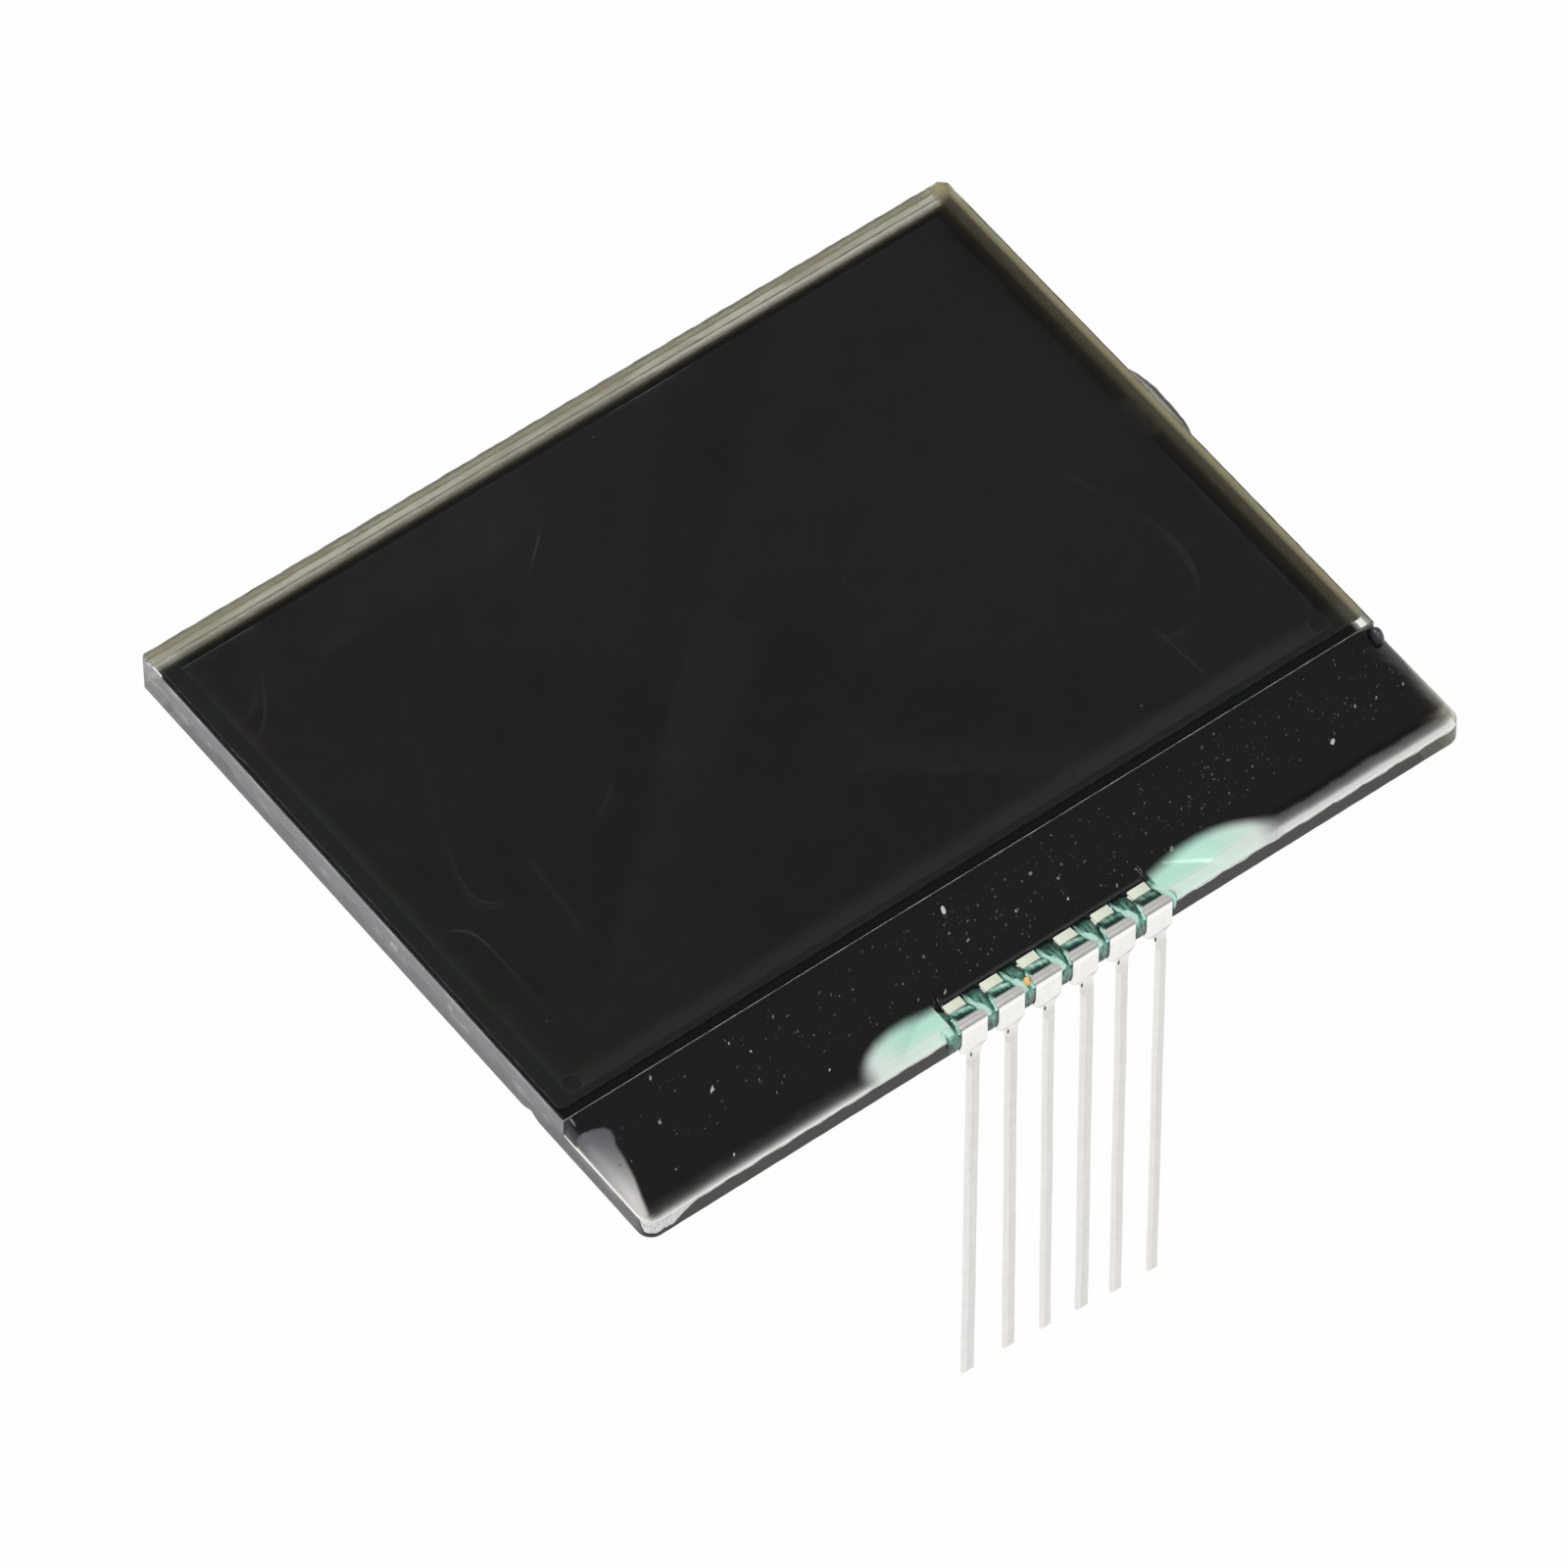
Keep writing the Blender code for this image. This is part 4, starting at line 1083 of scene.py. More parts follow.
@dataclass
class EndSealBump:
    """Bead of adhesive over the filling port."""

    effects: SharedEffects
    sections: int = 60
    arc_points: int = 14

    def build(self) -> None:
        """Sweep a quarter-ellipse section along Y, thick in the middle and thin at both ends.

        At a share s of the half length the section's size is the square root of 1 - s², made uneven
        by a wavering line.
        """
        low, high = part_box("end_seal_plug")
        middle, half = (low[1] + high[1]) / 2, (high[1] - low[1]) / 2
        along = np.sin(np.linspace(-math.pi / 2, math.pi / 2, self.sections))
        size = np.sqrt(np.clip(1.0 - along ** 2, 0.0, 1.0))
        size = np.clip(size * (0.95 + 0.05 * waver(along * half, 41, 2.6 * MM, 3)), 0.02, 1.0)
        angle = np.linspace(0.0, math.pi / 2, self.arc_points)
        reach, height = high[0] - low[0], high[2] - low[2]
        x = low[0] + reach * size[:, None] * np.cos(angle)[None, :] ** 0.75
        z = low[2] + height * (size[:, None] ** 0.35) * np.sin(angle)[None, :] ** 0.75
        corner = np.stack([np.full(self.sections, low[0]), np.full(self.sections, low[2])], axis=1)
        y = middle + half * along
        arc = np.stack([x, np.broadcast_to(y[:, None], x.shape), z], axis=-1)
        foot = np.stack([corner[:, 0], y, corner[:, 1]], axis=-1)[:, None, :]
        item = loft("end_seal_bump", np.concatenate([foot, arc], axis=1), 40.0)
        outside = np.concatenate([[0.0], smooth_step(np.cos(angle) ** 0.75, 0.14, 0.30)])
        set_attribute(item, "outside", np.tile(outside, self.sections))
        dress(item, PlugAdhesive().build(self.effects))
        place_piece(item, Slot.PLUG, "end_seal_plug")


@dataclass(frozen=True)
class GluePlan:
    """How far the green adhesive reaches in from the ledge's edge, at both ends of the pin row.

    Each outline is a row of places from the row's middle and depths there, in millimetres. The
    adhesive fades into the potting within the fade on both sides of its outline.
    """

    left_outline: tuple[tuple[float, float], ...] = (
        (5.5, 1.42), (6.5, 1.47), (7.4, 1.48), (8.4, 1.42), (9.2, 1.26), (9.9, 0.95), (10.4, 0.62),
        (10.8, 0.30), (11.0, 0.0))
    right_outline: tuple[tuple[float, float], ...] = (
        (5.5, 1.42), (6.3, 1.54), (7.3, 1.62), (8.5, 1.60), (9.3, 1.50), (10.0, 1.32), (10.7, 1.02),
        (11.3, 0.72), (11.9, 0.50), (12.5, 0.40))
    row_half: float = 5.6 * MM
    fade: float = 0.36 * MM

    def depth(self, x: np.ndarray) -> np.ndarray:
        """Depth at places along the ledge, and 0 beyond the ends."""
        sides = [np.interp(sign * x / MM, *np.array(outline).T, right=0.0)
                 for sign, outline in ((-1.0, self.left_outline), (1.0, self.right_outline))]
        return np.where(x < 0.0, *sides) * MM

    def end(self, sign: float) -> float:
        """Distance of one end's tip from the row's middle."""
        return (self.left_outline if sign < 0.0 else self.right_outline)[-1][0] * MM


@dataclass
class LedgePotting:
    """Black potting over the ledge, and the dust on it."""

    layout: Layout
    effects: SharedEffects
    glue: GluePlan = GluePlan()
    columns: int = 420
    rows: int = 96
    margin: float = 0.06 * MM
    rim: float = 0.03 * MM
    thickness: float = 0.72 * MM
    front_roll: float = 1.6 * MM
    side_roll: float = 1.5 * MM
    meniscus_rise: float = 0.3 * MM
    meniscus_reach: float = 0.9 * MM
    pin_zone_start: float = 1.42 * MM
    tab_end: float = 1.53 * MM
    row_end: float = 9.0 * MM

    def _by_pins(self, x: np.ndarray) -> np.ndarray:
        """1 beside the pin row and 0 beyond its ends."""
        return smooth_step(self.glue.row_half + 0.15 * MM - np.abs(x), 0.0, 0.3 * MM)

    def near_line(self, x: np.ndarray) -> np.ndarray:
        """Y at which the potting starts: the ledge's edge, or the ends of the pins' tabs."""
        near = self.margin + (self.pin_zone_start - self.margin) * self._by_pins(x)
        place = self.layout
        pull = (self._corner_pull(x - place.left, 0.7 * MM)
                + self._corner_pull(place.rear_right - x, 0.75 * MM))
        return place.ledge_edge + np.maximum(near, self.margin + pull)

    def height(self, x: np.ndarray, y: np.ndarray) -> np.ndarray:
        """Height over the ledge: a dome with rounded rims, and a meniscus up the front sheet.

        The dome is the product of a quarter round from each side. Along the pin row it starts
        behind the tabs, and beyond the row it starts at the ledge's edge. The left side is steeper
        next to the front sheet.

        Args:
            x: places along the ledge.
            y: places across the ledge, of the same shape.

        Returns:
            Height at each place.
        """
        place = self.layout
        along_row = smooth_step(self.row_end - np.abs(x), 0.0, 3.0 * MM)
        start = place.ledge_edge + self.margin + (self.tab_end - self.margin) * along_row
        back = smooth_step(y, place.front_near - 1.5 * MM, place.front_near - 0.6 * MM)
        left_roll = self.side_roll - 1.1 * MM * back
        dome = (quarter_round(y - start, self.front_roll)
                * quarter_round((x - place.left - self.margin) / left_roll, 1.0)
                * quarter_round(place.rear_right - self.margin - x, self.side_roll))
        climb = np.clip(1.0 - (place.front_near - y) / self.meniscus_reach, 0.0, 1.0) ** 2
        uneven = 0.012 * MM * waver(x + 0.7 * y, 71, 6.0 * MM) * dome
        return self.rim + (self.thickness - self.rim) * dome + self.meniscus_rise * climb + uneven

    def build(self) -> None:
        """Make the potting as a height body and mask its thin rim."""
        place = self.layout
        share = np.linspace(0.0, 1.0, self.columns)
        share = 0.75 * share + 0.25 * (0.5 - 0.5 * np.cos(np.pi * share))
        x = place.left + self.margin + (place.rear_right - place.left - 2 * self.margin) * share
        near = self.near_line(x)
        depth = np.linspace(0.0, 1.0, self.rows)
        depth = 0.6 * depth + 0.4 * (0.5 - 0.5 * np.cos(np.pi * depth))
        far = place.front_near - 0.02 * MM
        y = near[:, None] + (far - near[:, None]) * depth[None, :]
        x = np.broadcast_to(x[:, None], y.shape)
        top = place.ledge_top + self.height(x, y)
        bottom = np.full_like(top, place.ledge_top + 0.004 * MM)
        item = loft("ledge_potting", height_body(x, y, top, bottom), 50.0)
        brown = smooth_step(x, place.rear_right - 2.2 * MM, place.rear_right - 0.6 * MM)
        # The pale patch at the left end is painted reflection, and pale is how bright it is.
        smear_and_reflection, pale = self._reflection_patch(x, y)
        for name, values in (("cover", self._cover(x, y, y - near[:, None], smear_and_reflection)),
                             ("brown", brown), ("smear_and_reflection", smear_and_reflection), ("pale", pale)):
            set_attribute(item, name, np.concatenate([values, values[:, ::-1]], axis=1))
        dress(item, LedgePottingFinish().build(self.effects))
        place_piece(item, Slot.COAT, "ledge_coat")
        self._dust()
        self._corner_drop()

    @staticmethod
    def _corner_pull(distance: np.ndarray, radius: float) -> np.ndarray:
        """How far a rounded ledge corner draws the near line in: radius less the arc's height."""
        share = np.clip(1.0 - distance / radius, 0.0, 1.0)
        return radius * (1.0 - np.sqrt(np.clip(1.0 - share ** 2, 0.0, 1.0)))

    def _reflection_patch(self, x: np.ndarray, y: np.ndarray) -> tuple[np.ndarray, np.ndarray]:
        """The pale patch of painted reflection at the left end, and how bright it is.

        It lies between the ledge's side and a curved border. It gets paler towards the near corner
        and towards the side.

        Args:
            x: places along the ledge.
            y: places across the ledge.

        Returns:
            How strongly the painted reflection lies at each place, and how bright it is, from 0 to 1.
        """
        back = (y - self.layout.ledge_edge) / MM
        from_left = (x - self.layout.left) / MM
        border = np.interp(back, (0.0, 0.5, 1.15, 2.0, 3.1, 3.9, 4.2, 4.6, 4.9, 5.1, 5.25),
                           (0.3, 0.42, 0.58, 0.86, 1.12, 1.24, 1.42, 1.50, 1.36, 0.9, 0.3))
        inside = smooth_step(border - from_left, -0.05, 0.12) * smooth_step(back, 5.32, 5.12)
        pale = 0.95 * smooth_step(back, 4.9, 0.3) ** 1.2
        side = 0.28 * np.exp(-from_left / 0.35) * smooth_step(back, 5.0, 4.0)
        return inside, np.clip(pale * (1.0 - 0.35 * from_left / border.clip(0.3)) + side, 0.0, 1.0)

    def _cover(self, x: np.ndarray, y: np.ndarray, front_gap: np.ndarray,
               smear_and_reflection: np.ndarray) -> np.ndarray:
        """How well the potting hides what is under it.

        Along the front rim the cover rises fast and then slowly on the left of the pins. On the
        right it rises in two steps with a slightly thinner part between them. It is full beside the
        adhesive. The patch of painted reflection hides nearly all except for a thin line beside the
        ledge's side. The right rim is thin near the front sheet and wider towards the near corner.

        Args:
            x: places along the ledge.
            y: places across the ledge.
            front_gap: distance from the line where the potting starts.
            smear_and_reflection: how strongly the patch of painted reflection lies at each place.

        Returns:
            Cover from 0 to 1.
        """
        place = self.layout
        gap = front_gap * (1.0 + 0.06 * waver(x, 83, 5.0 * MM)) / MM
        fast = np.interp(gap, (0.0, 0.05, 0.15, 0.25, 0.35, 0.55, 0.65, 0.75, 0.95, 1.2),
                         (0.16, 0.28, 0.50, 0.76, 0.82, 0.85, 0.89, 0.93, 0.98, 1.0))
        stepped = np.interp(gap, (0.0, 0.15, 0.25, 0.35, 0.45, 0.55, 0.65, 0.75, 0.85, 0.95),
                            (0.14, 0.14, 0.28, 0.63, 0.76, 0.75, 0.70, 0.67, 0.93, 1.0))
        rim = np.where(x < 0.0, fast, stepped)
        by_glue = smooth_step(self.glue.depth(x), 0.9 * MM, 1.35 * MM)
        front = rim + (1.0 - rim) * np.maximum(by_glue, self._by_pins(x))
        back = (y - place.ledge_edge) / MM
        beside = 1.0 - np.exp(-np.clip(x - place.left - 0.06 * MM, 0.0, None) / (0.05 * MM))
        left = 1.0 - smear_and_reflection * (1.0 - 0.96 * beside)
        width = (0.05 + 0.26 * smooth_step(back, 4.6, 1.6)) * MM
        right = 1.0 - np.exp(-np.clip(place.rear_right - x - 0.07 * MM, 0.0, None) / width)
        return np.clip(front * left * right, 0.0, 1.0)

    def _corner_drop(self) -> None:
        """An upright drop of adhesive where the potting meets the front sheet's right corner."""
        place = self.layout
        centre = (place.front_right - 0.16 * MM, place.front_near - 0.42 * MM,
                  place.ledge_top + 0.46 * MM)
        item = loft("corner_drop", uneven_ball(centre, (0.30 * MM, 0.46 * MM, 0.66 * MM), 0.05), 60.0)
        dress(item, PlainFinish("cloudy_drop", (0.075, 0.075, 0.085), (0.035, 0.035, 0.04), 3000.0,
                                (0.12, 0.25)).build(self.effects))
        place_piece(item, Slot.COAT)

    def _dust(self) -> None:
        """Scatter flat flakes over the potting: chosen larger ones, then many faint ones.

        A chosen flake is its place along and across the ledge and its size, in millimetres, and
        then its brightness and tint.
        """
        place = self.layout
        chosen = ((4.4, 5.7, 0.30, 0.7, 0.4), (10.8, 1.5, 0.26, 0.8, 0.4),
                  (24.4, 2.5, 0.28, 0.9, 0.4), (6.2, 3.7, 0.50, 0.9, 0.0),
                  (19.7, 5.2, 0.52, 1.0, 0.0), (38.6, 2.2, 0.46, 0.9, 0.0),
                  (5.0, 0.55, 0.20, 0.9, 0.0), (1.25, 2.8, 0.18, 0.35, 0.0),
                  (3.4, 3.7, 0.26, 0.45, 0.0), (4.9, 4.6, 0.16, 0.2, 0.0),
                  (8.2, 5.2, 0.18, 0.8, 0.0), (8.7, 4.3, 0.20, 0.9, 0.0),
                  (2.5, 1.3, 0.20, 0.4, 0.0), (8.1, 2.9, 0.22, 0.3, 0.0),
                  (8.3, 1.9, 0.18, 0.3, 0.0), (19.6, 3.3, 0.28, 0.35, 0.0),
                  (17.6, 3.8, 0.34, 0.2, 0.0), (17.3, 1.9, 0.28, 0.4, 0.0),
                  (16.1, 2.2, 0.24, 0.25, 0.0), (22.2, 3.3, 0.26, 0.5, 0.0),
                  (19.2, 4.1, 0.22, 0.3, 0.0), (24.7, 3.6, 0.28, 0.3, 0.0),
                  (23.9, 4.5, 0.28, 0.3, 0.0), (29.6, 1.9, 0.32, 0.3, 0.0),
                  (26.6, 1.9, 0.28, 0.3, 0.0), (40.6, 3.1, 0.28, 0.45, 0.0),
                  (41.6, 2.9, 0.26, 0.4, 0.0), (43.0, 2.8, 0.20, 0.6, 0.0))
        random = np.random.default_rng(97)
        spots = [(place.left + along * MM, place.ledge_edge + back * MM, size * MM, glow, tint)
                 for along, back, size, glow, tint in chosen]
        for _ in range(420):
            along = place.left + (0.05 + 0.93 * random.random() ** 0.7) * (place.rear_right - place.left)
            back = place.ledge_edge + (2.0 + 3.6 * random.random()) * MM
            spots.append((along, back, (0.08 + 0.16 * random.random() ** 2) * MM,
                          0.03 + 0.22 * random.random() ** 3, 0.0))
        bodies, glows, tints = [], [], []
        for x, y, size, glow, tint in spots:
            body = flake_rings(random, x, y, size,
                               lambda at_x, at_y: place.ledge_top + self.height(at_x, at_y))
            bodies.append(body)
            glows.append(np.full(body.shape[0] * body.shape[1], glow))
            tints.append(np.full(body.shape[0] * body.shape[1], tint))
        item = lofts("potting_dust", bodies, 60.0)
        set_attribute(item, "glow", np.concatenate(glows))
        set_attribute(item, "tint", np.concatenate(tints))
        dress(item, FlakeFinish().build(self.effects))
        place_piece(item, Slot.COAT)


@dataclass(frozen=True)
class PinSizes:
    """Sizes of one clip-on pin. Its strip is a little thinner than in the CAD, for the slits.

    Each slit is drawn as a dark oval of painted shade.
    """

    thickness: float = 0.19 * MM
    glass_gap: float = 0.03 * MM
    tab_length: float = 0.55 * MM
    tab_width: float = 0.95 * MM
    tab_reach: float = 1.5 * MM
    arch_rise: float = 0.4 * MM
    crest_reach: float = 0.1 * MM
    plate_width: float = 1.4 * MM
    shoulder_drop: float = 1.80 * MM
    shoulder_height: float = 0.85 * MM
    root_height: float = 0.30 * MM
    slit_place: float = -0.21 * MM
    slit_drop: float = 2.23 * MM
    finger_width: float = 0.4 * MM
    finger_reach: float = 1.2 * MM
    finger_drop: float = 0.12 * MM
    corner: float = 0.035 * MM


@dataclass(frozen=True)
class LeadShape:
    """Width of one lead, and how far its top and its end stand from the pin's middle."""

    width: float
    top: float
    end: float


def bent_path(corners: list[tuple[float, float, float]], steps: int) -> np.ndarray:
    """Follow a broken line with an arc of its own radius at each inner corner.

    An arc's tangent length is its radius times the tangent of half the turn, and its points are a
    spherical blend of its two end radii.

    Args:
        corners: y, z and radius of each corner.
        steps: steps in each arc.

    Returns:
        Points in the YZ plane.
    """
    points = [np.array(corners[0][:2])]
    for before, here, after in zip(corners, corners[1:], corners[2:]):
        spot = np.array(here[:2])
        back = np.array(before[:2]) - spot
        ahead = np.array(after[:2]) - spot
        back /= np.linalg.norm(back)
        ahead /= np.linalg.norm(ahead)
        turn = math.pi - math.acos(float(np.clip(back @ ahead, -1.0, 1.0)))
        tangent = here[2] * math.tan(turn / 2)
        middle = (back + ahead) / np.linalg.norm(back + ahead)
        centre = spot + middle * math.hypot(here[2], tangent)
        start, finish = spot + back * tangent - centre, spot + ahead * tangent - centre
        share = np.linspace(0.0, 1.0, steps + 1)[:, None]
        arc = (np.sin((1 - share) * turn) * start + np.sin(share * turn) * finish) / math.sin(turn)
        points += list(centre + arc)
    points.append(np.array(corners[-1][:2]))
    return np.array(points)


def even_path(path: np.ndarray, step: float) -> np.ndarray:
    """Read a path again at about even steps of its own length."""
    length = np.concatenate([[0.0], np.cumsum(np.linalg.norm(np.diff(path, axis=0), axis=1))])
    places = np.linspace(0.0, length[-1], max(2, math.ceil(length[-1] / step)))
    places = np.unique(np.concatenate([places, length]))
    return np.stack([np.interp(places, length, path[:, axis]) for axis in (0, 1)], axis=1)


def strip_body(path: np.ndarray, low_x: np.ndarray, high_x: np.ndarray, thickness: float,
               corner: float) -> np.ndarray:
    """Loops of a flat strip with rounded edges that follows a path in the YZ plane.

    A loop is a rectangle between low_x and high_x whose corners are three-point arcs, set at right
    angles to the path.

    Args:
        path: points in the YZ plane.
        low_x: lower side at each point.
        high_x: upper side at each point.
        thickness: the strip's thickness.
        corner: radius of its edges.

    Returns:
        Points of shape (path points, 12, 3).
    """
    along = np.gradient(path, axis=0)
    along /= np.linalg.norm(along, axis=1)[:, None]
    normal = np.stack([-along[:, 1], along[:, 0]], axis=1)
    angle = np.radians(np.array([0.0, 45.0, 90.0]))
    draw_x, draw_n = [], []
    for side_x, side_n, turn in ((1, 1, 0), (-1, 1, 1), (-1, -1, 2), (1, -1, 3)):
        sweep = angle if turn % 2 == 0 else angle[::-1]
        draw_x.append(np.stack([np.full(3, side_x), corner * (1.0 - np.cos(sweep))], axis=1))
        draw_n.append(side_n * (thickness / 2 - corner * (1.0 - np.sin(sweep))))
    draw_x = np.vstack(draw_x)
    draw_n = np.concatenate(draw_n)
    side = np.where(draw_x[:, 0] > 0, high_x[:, None] - draw_x[:, 1], low_x[:, None] + draw_x[:, 1])
    y = path[:, :1] + normal[:, :1] * draw_n[None, :]
    z = path[:, 1:] + normal[:, 1:] * draw_n[None, :]
    return np.stack([side, y, z], axis=-1)


@dataclass
class PinRow:
    """Six folded strips clipped over the ledge's edge."""

    layout: Layout
    effects: SharedEffects
    sizes: PinSizes = PinSizes()
    step: float = 0.05 * MM
    leads: tuple[LeadShape, ...] = (
        LeadShape(0.64 * MM, -0.03 * MM, -0.24 * MM), LeadShape(0.60 * MM, 0.02 * MM, 0.04 * MM),
        LeadShape(0.54 * MM, 0.06 * MM, 0.08 * MM), LeadShape(0.64 * MM, 0.14 * MM, 0.14 * MM),
        LeadShape(0.57 * MM, 0.05 * MM, 0.03 * MM), LeadShape(0.52 * MM, 0.16 * MM, 0.10 * MM))

    def build(self) -> None:
        """Make every pin, and dark ovals of painted shade in the punched slits at their shoulders."""
        metal = TinnedMetal().build(self.effects)
        slit_shades = []
        for number, lead in enumerate(self.leads, 1):
            node = f"terminal_pin_{number}"
            item = self._pin(f"edge_pin_{number}", node, number, lead)
            dress(item, metal)
            place_piece(item, Slot.METAL, node)
            slit_shades.append(self._slit_shade(node))
        # Painted shade: the dark ovals stand for the shade in the slits.
        item = lofts("pin_slit_shades", slit_shades, 40.0)
        dress(item, PlainFinish("slit_shadow", (0.10, 0.10, 0.085), (0.03, 0.03, 0.027), 9000.0,
                                (0.4, 0.7)).build(self.effects))
        place_piece(item, Slot.METAL)

    def _slit_shade(self, node: str) -> np.ndarray:
        """A small upright oval just proud of the plate's outer face, left of the pin's middle.

        Its dark finish is painted shade, standing for the shadowed wall of the slit.
        """
        low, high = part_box(node)
        size = self.sizes
        middle = (low[0] + high[0]) / 2 + size.slit_place
        angle = np.linspace(0.0, 2.0 * math.pi, 13)[:-1]
        x = middle + 0.055 * MM * np.cos(angle)
        z = high[2] - size.slit_drop + 0.16 * MM * np.sin(angle)
        return np.stack([np.stack([x, np.full(12, y), z], axis=1)
                         for y in (-size.thickness * 0.4, -size.thickness / 2 - 0.004 * MM)])

    def _pin(self, name: str, node: str, number: int, lead: LeadShape) -> bpy.types.Object:
        """One pin: its strip from the tab over the arch and plate down the lead, and its finger.

        Below its shoulder the plate narrows to the lead. On the right it follows a hollow fillet,
        whose width share is 1 less the square root of 1 - (1 - t)² at a share t of its height.

        Args:
            name: the object's name.
            node: CAD node that gives its place.
            number: its place in the row, which picks its small bends.
            lead: its lead.

        Returns:
            The pin.
        """
        size, place = self.sizes, self.layout
        low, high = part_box(node)
        centre = (low[0] + high[0]) / 2
        edge = place.ledge_edge
        tab = place.ledge_top + size.glass_gap + size.thickness / 2
        crest = tab + size.arch_rise
        shoulder = crest + size.thickness / 2 - size.shoulder_drop
        corners = [(edge + size.tab_reach, tab, 0.0),
                   (edge + size.tab_reach - size.tab_length, tab, 0.48 * MM),
                   (edge + size.crest_reach, crest, 0.2 * MM), (0.0, crest, 0.16 * MM),
                   (0.0, low[2], 0.0)]
        path = even_path(bent_path(corners, 10), self.step)
        y, z = path[:, 0], path[:, 1]
        crest_end = edge + size.crest_reach
        wide = 1.0 - smooth_step(y, crest_end, crest_end + 0.2 * MM)
        upper = size.tab_width / 2 + (size.plate_width - size.tab_width) / 2 * wide
        outside = y < 0.1 * MM
        narrowing = np.clip((shoulder - z) / size.shoulder_height, 0.0, 1.0) * outside
        hollow = 1.0 - np.sqrt(1.0 - (1.0 - narrowing) ** 2)
        root = 1.0 - smooth_step(shoulder - z, 0.0, size.root_height) * outside
        below = np.clip(shoulder - z, 0.0, None) * outside
        fall = below / (shoulder - low[2])
        wave = 0.015 * MM * waver(below, 100 + number, 14.0 * MM, 3)
        middle = (lead.top + (lead.end - lead.top) * fall + wave) * smooth_step(below, 0.0, 1.0 * MM)
        half = lead.width / 2
        right = centre + middle + half + (upper - half) * hollow
        left = centre + middle - half - (upper - half) * root
        strip = strip_body(path, left, right, size.thickness, size.corner)
        length = np.concatenate([[0.0], np.cumsum(np.linalg.norm(np.diff(path, axis=0), axis=1))])
        fold = length[int(np.argmax(y < 0.045 * MM))]
        # Painted reflection and shade along the strip: grey crest, dark line at the fold, white band
        # below it, then the plate and the darker lead.
        shade = np.interp((length - fold) / MM,
                          (-0.4, -0.3, -0.22, -0.16, -0.10, -0.05, 0.0, 0.05, 0.08, 0.34, 0.38, 0.42,
                           1.6, 2.6),
                          (0.60, 0.74, 0.66, 0.46, 0.74, 0.56, 0.22, 0.90, 1.00, 1.00, 0.80, 0.90,
                           0.88, 0.66))
        # Painted sheen: the lead's left part is painted lighter.
        side = smooth_step(-z, -(shoulder - 0.8 * MM), -(shoulder - 1.8 * MM))
        green = smooth_step(y, edge + 0.45 * MM, edge + 0.9 * MM)
        matt = np.maximum(green, 0.85 * (length < fold))
        under = place.rear_bottom - size.glass_gap - size.thickness / 2
        bend = [(0.0, shoulder + 0.4 * MM, 0.0), (0.0, under, 0.16 * MM),
                (edge + size.finger_reach / 2, under, 0.16 * MM),
                (edge + size.finger_reach, under - size.finger_drop, 0.0)]
        finger_path = even_path(bent_path(bend, 8), self.step)
        start = np.full(len(finger_path), centre - size.plate_width / 2 + 0.01 * MM)
        finger = strip_body(finger_path, start, start + size.finger_width,
                            size.thickness - 0.02 * MM, size.corner)
        item = lofts(name, [strip, finger], 40.0)
        others = np.zeros(finger.shape[0] * finger.shape[1])
        for label, values, other in (("shade", shade, 0.8), ("green", green, 0.0),
                                     ("matt", matt, 0.0)):
            set_attribute(item, label, np.concatenate([np.repeat(values, strip.shape[1]),
                                                       others + other]))
        towards_left = np.where(strip[:, :, 0] < centre + middle[:, None], 1.0, -1.0)
        set_attribute(item, "side", np.concatenate([(towards_left * side[:, None]).ravel(), others]))
        return item


@dataclass(frozen=True)
class Rope:
    """One rope of adhesive in a gap of the pin row.

    Its line is a row of places past the ledge's edge, heights over the ledge and bend radii. Its
    offsets are its distances from the gap's middle at both ends, and its halves are its half widths
    at the start, the middle and the end. All of them are in millimetres.
    """

    line: tuple[tuple[float, float, float], ...]
    offsets: tuple[float, float]
    halves: tuple[float, float, float]
    thick: float
    mint: float


